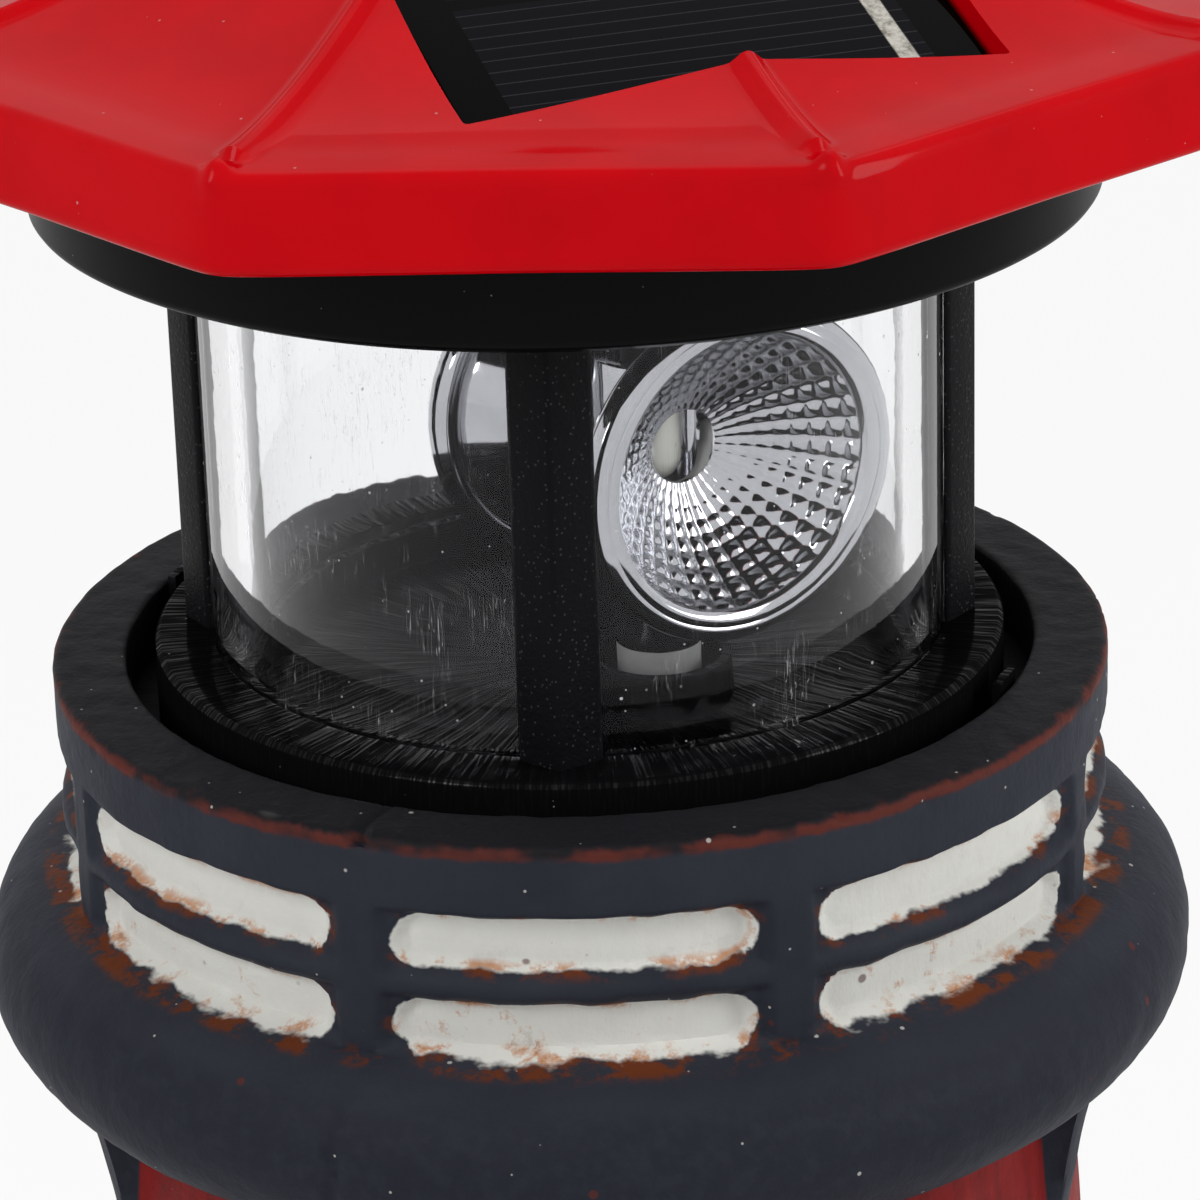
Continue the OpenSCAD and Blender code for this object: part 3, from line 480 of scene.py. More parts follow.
@dataclass(frozen=True)
class CastPaint:
    """Hand-painted cast resin of the tower, with rust washes and worn edges."""

    name: str = "cast_paint"
    gallery: Gallery = Gallery()
    shaft: Shaft = Shaft()
    slot_r: float = 48.5
    wall: Colour = (0.030, 0.033, 0.045)
    roll: Colour = (0.020, 0.022, 0.031)
    top: Colour = (0.011, 0.011, 0.012)
    white: Colour = (0.74, 0.74, 0.70)
    cream: Colour = (0.62, 0.59, 0.52)
    rust: Colour = (0.13, 0.032, 0.010)
    orange: Colour = (0.52, 0.20, 0.055)
    worn: Colour = (0.105, 0.026, 0.020)
    chip: Colour = (0.13, 0.13, 0.125)
    dot: Colour = (0.55, 0.53, 0.5)
    red: Colour = (0.21, 0.015, 0.015)
    red_dark: Colour = (0.12, 0.012, 0.012)
    red_pale: Colour = (0.36, 0.04, 0.035)
    # painted shade: the dark brown that darkens the red wall just under the roll's overhang
    shade_under_roll: Colour = (0.030, 0.014, 0.010)
    plank: Colour = (0.12, 0.052, 0.022)
    plank_dark: Colour = (0.03, 0.012, 0.006)
    glass: Colour = (0.012, 0.014, 0.018)

    def bays(self, r: Recipe) -> tuple[Num, Num, Num]:
        """Radius, height, and angle from the middle of a bay.

        Args:
            r: the material's recipe.

        Returns:
            The three numbers, in millimetres and degrees.
        """
        radius, angle, z = r.polar()
        azimuth = angle * (180 / math.pi) - TOWER_TURN
        in_bay = azimuth + 360.0 + BAY / 2
        in_bay = in_bay - (in_bay / BAY).maths("FLOOR") * BAY - BAY / 2
        return radius, z, in_bay

    def slots(self, r: Recipe, radius: Num, z: Num, in_bay: Num) -> tuple[Num, Num]:
        """Where the white slots are, and how near their rim.

        Args:
            r: the material's recipe.
            radius: distance from the axis.
            z: height.
            in_bay: angle from the middle of a bay.

        Returns:
            The mask of the white paint and that of its rusty rim.
        """
        wander = r.noise(3.2, 3.0, 0.6, seed=4.0) - 0.5
        across = abs(in_bay) * (math.pi * self.slot_r / 180)
        masks = []
        for middle in self.gallery.slot_mids:
            up = abs(z - (GALLERY_Z + middle)) + wander * 1.1
            past = (across + wander * 1.6 - self.gallery.slot_reach).most(0.0)
            reach = (up * up + past * past).maths("SQRT")
            masks.append(reach - self.gallery.slot_half)
        far = masks[0].least(masks[1])
        outside = radius.step(46.2, 46.9)
        return far.step(0.15, -0.15) * outside, abs(far).step(0.9, 0.1) * outside

    def slot_white(self, r: Recipe, z: Num, fine: Num, stain: Num, paint: Num, rim: Num) -> Socket:
        """The slots' white paint with its rust, which lies mostly in the lower ones.

        Args:
            r: the material's recipe.
            z: height.
            fine: fine noise.
            stain: blotchy noise.
            paint: mask of the white paint.
            rim: mask of its rim.

        Returns:
            The paint's colour.
        """
        low_slot = sunk(z, 14.5, 17.0)
        veins = abs(r.noise(3.8, 5.0, 0.6, seed=17.0) - 0.5)
        runs = veins.step(0.03, 0.005) * stain.step(0.54, 0.66) * low_slot
        pits = stain.step(0.60, 0.68) * (low_slot * 0.7 + 0.3) * (rim * 0.75 + 0.25)
        edge_glow = rim * stain.step(0.50, 0.60) * paint
        white = r.mix(fine.step(0.35, 0.75) * 0.16, self.white, self.cream)
        white = r.mix(runs * 0.6, white, self.orange)
        white = r.mix(pits * 0.9, white, self.rust)
        return r.mix(edge_glow * 0.8, white, self.orange)

    def lower(self, r: Recipe, colour: Source, radius: Num, z: Num, blotch: Num, streak: Num) -> Socket:
        """Paint of the wall under the roll, its brackets, frames and plinth, with painted shade where the
        roll overhangs the wall.

        Args:
            r: the material's recipe.
            colour: the paint that stays on the gallery, brackets and plinth.
            radius: distance from the axis.
            z: height.
            blotch: coarse noise.
            streak: noise drawn out upwards.

        Returns:
            The whole casting's colour.
        """
        s = self.shaft
        proud = radius - (s.foot_r - (z - s.step_z) * s.slope)
        red = r.mix(streak.step(0.35, 0.75) * 0.7, self.red, self.red_dark)
        red = r.mix(blotch.step(0.5, 0.8) * 0.35, red, self.red_pale)
        # painted shade under the roll: the red wall turns dark brown towards the roll's underside and fades
        # out over 5.5 mm downwards
        red = r.mix(sunk(z, 44.0, 38.5) * 0.9, red, self.shade_under_roll)
        frames = r.mix(streak.step(0.4, 0.8) * 0.5, self.cream, self.rust)
        brackets = z.step(s.bracket_z - 3.0, s.bracket_z - 1.0)
        red = r.mix(proud.step(0.45, 0.75), red, r.mix(brackets, frames, colour))
        door = z.step(s.step_z + 46.0, s.step_z + 42.0)
        behind = r.mix(door, self.glass, r.mix(streak * 0.8, self.plank, self.plank_dark))
        red = r.mix(proud.step(-0.45, -0.75), red, behind)
        plinth = z.step(s.step_z + 1.2, s.step_z + 0.2)
        return r.mix(sunk(z, 37.0, 38.3) * (1.0 - plinth) * radius.step(41.5, 43.0), colour, red)

    def worn_edge(self, r: Recipe, radius: Num, z: Num, streak: Num, blotch: Num) -> Num:
        """Where the gallery's upper outer edge is worn to red-brown.

        Args:
            r: the material's recipe.
            radius: distance from the axis.
            z: height.
            streak: noise drawn out upwards.
            blotch: coarse noise.

        Returns:
            The mask of the worn line.
        """
        line = abs(z - (GALLERY_Z - self.gallery.edge) + (streak - 0.5) * 1.1).step(0.75, 0.2)
        along = r.noise(9.0, 3.0, 0.6, seed=31.0)
        return line * radius.step(48.4, 49.2) * along.step(0.34, 0.5) * blotch.step(0.15, 0.4)

    def material(self) -> Material:
        """The paint of the whole casting.

        Returns:
            The finished material.
        """
        r = Recipe(self.name)
        radius, z, in_bay = self.bays(r)
        blotch = r.noise(14.0, 4.0, 0.6)
        fine = r.noise(1.6, 4.0, 0.65, seed=2.0)
        streak = r.noise(2.2, 3.0, 0.6, stretch=(1.0, 1.0, 0.25), seed=9.0)
        stain = r.noise(5.0, 5.0, 0.7, seed=11.0)
        paint, rim = self.slots(r, radius, z, in_bay)

        colour = r.mix(blotch.step(0.35, 0.7) * 0.6, self.wall, self.roll)
        roll = r.mix(fine.step(0.4, 0.7) * 0.5, self.roll, self.wall)
        colour = r.mix(sunk(z, 22.4, 24.6), colour, roll)
        colour = self.lower(r, colour, radius, z, blotch, streak)
        base_line = abs(z - (GALLERY_Z - 21.2) + (fine - 0.5) * 1.6).step(1.0, 0.3)
        on_wall = radius.step(46.0, 47.0) * radius.step(52.6, 51.4)
        colour = r.mix(base_line * on_wall * stain.step(0.45, 0.58), colour, self.rust)
        colour = r.mix(rim * stain.step(0.49, 0.6), colour, self.rust)
        colour = r.mix(paint, colour, self.slot_white(r, z, fine, stain, paint, rim))

        upper = sunk(z, 1.6, 0.7)
        inner = radius.step(43.9, 43.2)
        colour = r.mix(upper.most(inner), colour, r.mix(fine * 0.4, self.top, self.roll))
        worn = self.worn_edge(r, radius, z, streak, blotch)
        colour = r.mix(worn, colour, self.worn)
        chips = r.specks(16.0, 0.16, 3.0) * radius.step(48.6, 49.2) * sunk(z, 4.0, 1.5)
        colour = r.mix(chips * 0.8, colour, self.chip)
        dots = r.specks(3.4, 0.05, 1.0).most(r.specks(6.1, 0.045, 5.0))
        colour = r.mix(dots * 0.75, colour, self.dot)
        colour = r.mix(r.specks(9.0, 0.06, 7.0) * 0.7, colour, self.worn)

        rough = 0.46 + fine * 0.2 - paint * 0.05 + upper * 0.04
        leather = r.noise(0.9, 5.0, 0.7, seed=21.0)
        brush = r.noise(0.8, 3.0, 0.55, stretch=(1.0, 1.0, 0.22), seed=6.0)
        height = leather * 0.55 + brush * 0.35 + fine * 0.5 + worn * -0.25 + paint * 0.35
        return r.finish(Base_Color=colour, Roughness=rough, Normal=r.bump(height, 0.16),
                        Specular_IOR_Level=0.06)


@dataclass(frozen=True)
class Plastic:
    """Moulded plastic, from glossy to a fine spark-eroded grain."""

    name: str
    colour: Colour
    rough: float = 0.25
    grain: float = 0.0
    grain_size: float = 0.35
    sparkle: float = 0.0
    wander: float = 0.0
    coat: float = 0.0
    dust: float = 0.0
    spec: float = 0.5
    glint: Colour = (0.32, 0.32, 0.33)
    dust_colour: Colour = (0.6, 0.58, 0.55)

    def material(self) -> Material:
        """The plastic's material.

        Returns:
            The finished material.
        """
        r = Recipe(self.name)
        cloud = r.noise(11.0, 3.0, 0.5, seed=3.0)
        fine = r.noise(self.grain_size, 3.0, 0.6, seed=8.0)
        shade = tuple(c * 0.72 for c in self.colour)
        colour = r.mix(cloud.step(0.35, 0.7) * 0.35, self.colour, shade)
        if self.sparkle:
            glints = r.specks(self.grain_size * 1.5, 0.22, 2.0)
            colour = r.mix(glints * self.sparkle, colour, self.glint)
        if self.dust:
            specks = r.specks(4.6, 0.035, 6.0).most(r.specks(2.7, 0.03, 12.0))
            colour = r.mix(specks * self.dust, colour, self.dust_colour)
        rough = cloud * 0.08 + fine * 0.05 + (self.rough - 0.06)
        height = fine * self.grain + cloud * self.wander
        depth = 0.08 if self.grain else 0.35
        return r.finish(Base_Color=colour, Roughness=rough, Normal=r.bump(height, depth),
                        Coat_Weight=self.coat, Coat_Roughness=0.05, Specular_IOR_Level=self.spec)


@dataclass(frozen=True)
class TurnedPlastic:
    """Black plastic with the fine circular and radial marks of handling."""

    name: str
    colour: Colour
    rough: float = 0.3
    mean_r: float = 40.0
    dust_colour: Colour = (0.5, 0.5, 0.5)

    def material(self) -> Material:
        """The plastic's material.

        Returns:
            The finished material.
        """
        r = Recipe(self.name)
        radius, angle, z = r.polar()
        along = {0: radius, 1: angle * self.mean_r, 2: z}
        place = r.node("ShaderNodeCombineXYZ", {}, along).outputs[0]
        rings = r.noise_at(r.vector("MULTIPLY", place, (2.6, 0.05, 1.0)), 4.0)
        rays = r.noise_at(r.vector("MULTIPLY", place, (0.15, 3.5, 0.4)), 3.0)
        dust = r.specks(3.1, 0.04, 4.0).most(r.specks(1.9, 0.03, 9.0))
        colour = r.mix(rays.step(0.45, 0.8) * 0.5, self.colour, tuple(c * 2.2 for c in self.colour))
        colour = r.mix(dust * 0.5, colour, self.dust_colour)
        rough = rings * 0.14 + rays * 0.22 + (self.rough - 0.18)
        height = rings * 0.5 + rays * 0.5
        return r.finish(Base_Color=colour, Roughness=rough, Normal=r.bump(height, 0.03),
                        Coat_Weight=rays.step(0.45, 0.75) * 0.35 + 0.02, Coat_Roughness=0.12,
                        Specular_IOR_Level=0.0)


@dataclass(frozen=True)
class Metal:
    """Plated or bare metal with fine scratches."""

    name: str
    colour: Colour
    rough: float = 0.15
    scratch: float = 0.2

    def material(self) -> Material:
        """The metal's material.

        Returns:
            The finished material.
        """
        r = Recipe(self.name)
        fine = r.noise(0.5, 3.0, 0.6, stretch=(1.0, 1.0, 0.2), seed=5.0)
        cloud = r.noise(6.0, 3.0, 0.6, seed=1.0)
        colour = r.mix(cloud.step(0.4, 0.75) * 0.3, self.colour, tuple(c * 0.7 for c in self.colour))
        rough = fine * self.scratch * 0.5 + (self.rough - self.scratch * 0.2)
        return r.finish(Base_Color=colour, Roughness=rough, Metallic=1.0,
                        Normal=r.bump(fine * self.scratch, 0.02))


@dataclass(frozen=True)
class ClearLens:
    """Clear moulded plastic with dust, hairline scratches and scuffs."""

    name: str = "clear_lens"
    tint: Colour = (0.975, 0.98, 0.99)
    gloss: Colour = (0.25, 0.25, 0.26)
    dust: Colour = (0.82, 0.82, 0.83)

    def material(self) -> Material:
        """Clear plastic under a scatter of pale dust.

        Returns:
            The finished material.
        """
        r = Recipe(self.name)
        long_marks = r.noise(0.55, 2.0, 0.5, stretch=(1.0, 1.0, 0.06), seed=13.0)
        cloud = r.noise(9.0, 3.0, 0.6, seed=2.0)
        hair = abs(long_marks - 0.5).step(0.008, 0.002) * cloud.step(0.5, 0.65)
        dots = r.specks(2.4, 0.045, 3.0).most(r.specks(5.3, 0.04, 8.0))
        r.finish(Base_Color=self.tint, Roughness=cloud * 0.03 + 0.01, Transmission_Weight=1.0, IOR=1.47,
                 Normal=r.bump(cloud, 0.02), Specular_IOR_Level=0.08, Specular_Tint=self.gloss)
        dust = r.node("ShaderNodeBsdfPrincipled", {}, {"Base Color": self.dust, "Roughness": 0.8})
        return r.overlay((hair * 0.35).most(dots * 0.7), dust)


@dataclass(frozen=True)
class PanelFace:
    """Black glossy face of the solar panel, with its grid lines and silver ribbons."""

    origin: Point
    turn: Point
    width: float
    length: float
    side_margin: float = 4.6
    end_margin: float = 2.0
    row_gap: float = 1.6
    line_pitch: float = 1.75
    ribbon_inset: float = 2.2
    soft: float = 0.05
    edge: Colour = (0.001, 0.001, 0.001)
    cell: Colour = (0.005, 0.005, 0.007)
    line: Colour = (0.06, 0.06, 0.07)
    silver: Colour = (0.62, 0.60, 0.54)
    tarnish: Colour = (0.20, 0.19, 0.16)

    def flat(self, r: Recipe) -> tuple[Num, Num, Num]:
        """Coordinates in the panel's own plane, in millimetres from its front edge's middle.

        Args:
            r: the material's recipe.

        Returns:
            The numbers across the panel, up it and out of it.
        """
        coords = r.node("ShaderNodeTexCoord", {}, {}).outputs["Object"]
        return r.axes(r.node("ShaderNodeMapping", {"vector_type": "TEXTURE"}, {
            "Vector": coords, "Location": tuple(v * MM for v in self.origin),
            "Rotation": tuple(math.radians(a) for a in self.turn), "Scale": (MM,) * 3}).outputs[0])

    def within(self, value: Num, half: float) -> Num:
        """1 where a value lies within a half width of 0, over a soft edge."""
        return abs(value).step(half + self.soft, half - self.soft)

    def material(self) -> Material:
        """The face's material, drawn in the panel's own plane.

        Returns:
            The finished material.
        """
        r = Recipe("panel_face")
        x, y, _ = self.flat(r)
        half = self.width / 2 - self.side_margin
        deep = (self.length - 2 * self.end_margin - self.row_gap) / 2
        in_row = self.within(y - (self.end_margin + deep / 2), deep / 2)
        in_next = self.within(y - (self.end_margin + self.row_gap + deep * 1.5), deep / 2)
        in_cell = in_row.most(in_next) * self.within(x, half)
        rows = y / self.line_pitch
        line = abs(rows - rows.maths("ROUND")) * self.line_pitch
        lines = line.step(0.1, 0.04) * in_cell
        right = abs(x - (half - self.ribbon_inset)).step(0.95, 0.75) * in_row
        left = abs(x + (half - self.ribbon_inset)).step(0.95, 0.75) * in_next
        ribbon = right.most(left) * in_cell
        solder = r.noise(1.1, 4.0, 0.7, seed=5.0)
        colour = r.mix(in_cell * 0.8, self.edge, self.cell)
        colour = r.mix(lines * 0.4, colour, self.line)
        silver = r.mix(solder.step(0.35, 0.7), self.silver, self.tarnish)
        colour = r.mix(ribbon * solder.step(0.2, 0.35), colour, silver)
        sag = r.noise(13.0, 2.0, 0.4, seed=7.0)
        return r.finish(Base_Color=colour, Roughness=sag * 0.04 + 0.05, Coat_Weight=0.05,
                        Coat_Roughness=0.03, Normal=r.bump(sag, 0.12), Specular_IOR_Level=0.0)


FINISHES = (
    CastPaint(),
    ClearLens(),
    TurnedPlastic("base_black", (0.004, 0.004, 0.0045)),
    Plastic("roof_red", (0.60, 0.0, 0.004), rough=0.15, wander=0.25, coat=0.1, dust=0.35, spec=0.01),
    Plastic("ring_black", (0.003, 0.003, 0.003), rough=0.36, grain=0.12, coat=0.06, dust=0.4, spec=0.02),
    Plastic("post_black", (0.005, 0.005, 0.006), rough=0.4, grain=0.9, grain_size=0.42, sparkle=0.1,
            spec=0.05),
    Plastic("cup_black", (0.018, 0.018, 0.019), rough=0.42, grain=0.3),
    Plastic("carrier_dark", (0.015, 0.015, 0.016), rough=0.35),
    Plastic("board_black", (0.02, 0.02, 0.022), rough=0.45),
    Plastic("parts_black", (0.03, 0.03, 0.03), rough=0.4),
    Plastic("rubber_black", (0.02, 0.02, 0.02), rough=0.7, grain=0.4),
    Plastic("board_green", (0.02, 0.12, 0.045), rough=0.35),
    Plastic("cell_sleeve", (0.04, 0.16, 0.075), rough=0.25, coat=0.4),
    Plastic("nylon_white", (0.78, 0.78, 0.74), rough=0.4),
    Plastic("spindle_grey", (0.36, 0.36, 0.35), rough=0.35),
    Plastic("lamp_clear", (0.86, 0.86, 0.78), rough=0.12, coat=0.5),
    Metal("chrome", (0.47, 0.475, 0.495), rough=0.07, scratch=0.08),
    Metal("screw_steel", (0.62, 0.62, 0.62), rough=0.3),
    Metal("can_steel", (0.6, 0.6, 0.62), rough=0.28),
    Metal("gear_brass", (0.72, 0.5, 0.2), rough=0.25),
)


# ------------------------------------------------------------------- mesh tools

class Body(Enum):
    """The bodies of the frame that pieces ride on."""

    TOWER = "tower"
    LANTERN = "lantern"
    BEACON = "beacon"
    DRIVE = "motor_drive"
    SWITCH = "power_switch"


def grain(points: np.ndarray, size: float, seed: float = 0.0) -> np.ndarray:
    """Smooth noise from -1 to 1 at each point, with bumps of a size in millimetres."""
    return np.array([noise.noise(Vector(p) / size + Vector((seed, seed, seed))) for p in points])


def rounded(corners: Sequence[Point], steps: int = 4) -> list[tuple[float, float]]:
    """A closed profile with round corners.

    Args:
        corners: radius, height and the corner's rounding.
        steps: number of steps in each arc.

    Returns:
        The profile's points.
    """
    points = []
    for i, (r, z, rounding) in enumerate(corners):
        here = Vector((r, z))
        if not rounding:
            points.append((r, z))
            continue
        back = (Vector(corners[i - 1][:2]) - here).normalized()
        ahead = (Vector(corners[(i + 1) % len(corners)][:2]) - here).normalized()
        half = back.angle(ahead) / 2
        centre = here + (back + ahead).normalized() * (rounding / math.sin(half))
        start = here + back * (rounding / math.tan(half)) - centre
        end = here + ahead * (rounding / math.tan(half)) - centre
        points += [tuple(centre + start.slerp(end, k / steps)) for k in range(steps + 1)]
    return points


def arc(centre: tuple[float, float], radius: float, angles: Iterable[float]) -> list[tuple[float, float]]:
    """Points of an arc in a profile, at angles in degrees from straight outwards."""
    turns = [math.radians(a) for a in angles]
    return [(centre[0] + radius * math.cos(t), centre[1] + radius * math.sin(t)) for t in turns]


def spaced(profile: Outline, spacing: float, closed: bool = True) -> list[tuple[float, float]]:
    """Adds points to a profile until none lie further apart than the spacing.

    Args:
        profile: the points.
        spacing: the widest distance that stays, in millimetres.
        closed: whether the last point joins the first.

    Returns:
        The profile with its new points.
    """
    points = []
    count = len(profile)
    for i in range(count if closed else count - 1):
        a, b = Vector(profile[i]), Vector(profile[(i + 1) % count])
        parts = max(1, math.ceil((b - a).length / spacing))
        points += [tuple(a.lerp(b, k / parts)) for k in range(parts)]
    return points if closed else points + [tuple(profile[-1])]


def lathe(profile: Outline, steps: int, closed: bool = True) -> Mesh:
    """Turns a profile of radius and height about the Z axis.

    One sector is spun first, and copies of it then fill the round, which is quicker.

    Args:
        profile: the points, in millimetres.
        steps: number of steps round the axis, which 2 to 12 sectors share evenly.
        closed: whether the last point joins the first.

    Returns:
        The turned mesh.
    """
    bm = bmesh.new()
    verts = [bm.verts.new((r, 0.0, z)) for r, z in profile]
    edges = [bm.edges.new(pair) for pair in zip(verts, verts[1:])]
    if closed:
        edges.append(bm.edges.new((verts[-1], verts[0])))
    sectors = next(n for n in range(12, 1, -1) if steps % n == 0)
    sector = 2 * math.pi / sectors
    axis = {"cent": (0, 0, 0), "axis": (0, 0, 1)}
    bmesh.ops.spin(bm, geom=verts + edges, angle=sector, steps=steps // sectors, **axis)
    wedge = bm.verts[:] + bm.edges[:] + bm.faces[:]
    rest = 2 * math.pi - sector
    bmesh.ops.spin(bm, geom=wedge, angle=rest, steps=sectors - 1, use_duplicate=True, **axis)
    bmesh.ops.remove_doubles(bm, verts=bm.verts[:], dist=2e-3)
    return bm


def prism(outline: Outline, z0: float, z1: float, edge: float = 0.0) -> Mesh:
    """Extrudes a flat outline upwards and rounds its edges.

    Args:
        outline: the outline's corners.
        z0: height of its lower face.
        z1: height of its upper face.
        edge: rounding of every edge.

    Returns:
        The solid's mesh.
    """
    bm = bmesh.new()
    face = bm.faces.new([bm.verts.new((x, y, z0)) for x, y in outline])
    top = bmesh.ops.extrude_face_region(bm, geom=[face])
    lifted = [v for v in top["geom"] if isinstance(v, bmesh.types.BMVert)]
    bmesh.ops.translate(bm, vec=(0, 0, z1 - z0), verts=lifted)
    bmesh.ops.recalc_face_normals(bm, faces=bm.faces[:])
    if edge:
        round_edges(bm, edge)
    return bm


def bevelled(bm: Mesh, edges: Sequence[bmesh.types.BMEdge], width: float, segments: int = 3,
             clamp: bool = True) -> None:
    """Rounds the given edges of a mesh, and where clamp is set keeps the roundings from overlapping."""
    bmesh.ops.bevel(bm, geom=edges, offset=width, affect="EDGES", segments=segments, profile=0.5,
                    material=-1, clamp_overlap=clamp)


def round_edges(bm: Mesh, width: float, angle: float = 32.0, segments: int = 3) -> None:
    """Rounds the sharp edges of a mesh.

    Args:
        bm: the mesh.
        width: width of the rounding.
        angle: edges above this angle are rounded, in degrees.
        segments: number of steps in the rounding.
    """
    limit = math.radians(angle)
    sharp = [e for e in bm.edges if len(e.link_faces) == 2 and e.calc_face_angle() > limit]
    bevelled(bm, sharp, width, segments)


def joined(parts: Iterable[Mesh]) -> Mesh:
    """Joins several meshes into one.

    Args:
        parts: the meshes, which are used up.

    Returns:
        The whole.
    """
    whole = bmesh.new()
    for part in parts:
        mesh = bpy.data.meshes.new("part")
        part.to_mesh(mesh)
        part.free()
        whole.from_mesh(mesh)
        bpy.data.meshes.remove(mesh)
    return whole


def placed(bm: Mesh, matrix: Matrix) -> Mesh:
    """Moves a mesh by a matrix, and returns it."""
    bmesh.ops.transform(bm, matrix=matrix, verts=bm.verts[:])
    return bm


def on_flange(bm: Mesh) -> Mesh:
    """Lifts a mesh whose heights are counted from the flange, and returns it."""
    return placed(bm, Matrix.Translation((0, 0, FLANGE_Z)))


def scaled(bm: Mesh, factor: float) -> Mesh:
    """Scales a mesh about the origin, and returns it."""
    bmesh.ops.scale(bm, vec=(factor,) * 3, verts=bm.verts[:])
    return bm


def reshape(bm: Mesh, rule: Callable[[np.ndarray], np.ndarray]) -> Mesh:
    """Moves the points of a mesh by a rule on all of them together.

    Args:
        bm: the mesh.
        rule: gives the new places for an array of places.

    Returns:
        The same mesh.
    """
    moved = rule(np.array([v.co for v in bm.verts]))
    for vert, place in zip(bm.verts, moved):
        vert.co = place
    return bm


def facing(azimuth: float) -> Matrix:
    """Turns what faces -Y to an azimuth from the front."""
    return Matrix.Rotation(math.radians(azimuth), 4, "Z")


def linked(name: str, bm: Mesh) -> bpy.types.Object:
    """Makes an object of a mesh and puts it in the scene.

    Args:
        name: the object's name.
        bm: its mesh, which is used up.

    Returns:
        The object.
    """
    mesh = bpy.data.meshes.new(name)
    bm.to_mesh(mesh)
    bm.free()
    thing = bpy.data.objects.new(name, mesh)
    bpy.context.scene.collection.objects.link(thing)
    return thing


def finished(name: str, bm: Mesh, material: Material, body: Body, nodes: Sequence[str],
             sharp: float = 35.0, outward: bool = True) -> None:
    """Makes a piece of a mesh that is in millimetres.

    Args:
        name: the piece's name.
        bm: its mesh.
        material: its finish.
        body: the body that it rides on.
        nodes: the CAD nodes that it stands for.
        sharp: edges above this angle stay sharp, in degrees.
        outward: whether its faces are turned outwards first.
    """
    if outward:
        bmesh.ops.recalc_face_normals(bm, faces=bm.faces[:])
    scaled(bm, MM)
    for face in bm.faces:
        face.smooth = True
    for edge in bm.edges:
        edge.smooth = len(edge.link_faces) == 2 and edge.calc_face_angle() < math.radians(sharp)
    piece = linked(name, bm)
    piece.data.materials.append(material)
    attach(piece, body.value)
    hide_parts(*nodes)
    LOG.info("%s: %d faces on %s", name, len(piece.data.polygons), body.value)


def softened(node: str, material: Material, body: Body, width: float) -> None:
    """Makes a piece of a CAD node's own shape, with its edges rounded as a mould leaves them.

    Args:
        node: the CAD node, which the piece stands for.
        material: its finish.
        body: the body that it rides on.
        width: rounding of its edges, in millimetres.
    """
    bm = bmesh.new()
    bm.from_mesh(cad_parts[node].data)
    scaled(bm, 1 / MM)
    bmesh.ops.remove_doubles(bm, verts=bm.verts[:], dist=2e-3)
    bmesh.ops.dissolve_degenerate(bm, edges=bm.edges[:], dist=1e-3)
    bmesh.ops.dissolve_limit(bm, angle_limit=math.radians(0.5), verts=bm.verts[:], edges=bm.edges[:])
    round_edges(bm, width, segments=2)
    bmesh.ops.triangulate(bm, faces=[f for f in bm.faces if len(f.verts) > 4])
    finished(node + "_shaped", bm, material, body, [node], outward=False)


@dataclass
class Assembly:
    """A sub-assembly, which takes its finishes by name."""

    finishes: dict[str, Material]

    def soften(self, node: str, finish: str, slot: str, width: float, body: Body = Body.LANTERN) -> None:
        """Dresses a CAD node in its own shape with rounded edges."""
        softened(node, self.finishes[finish], body, width)


# ---------------------------------------------------------------------- casting

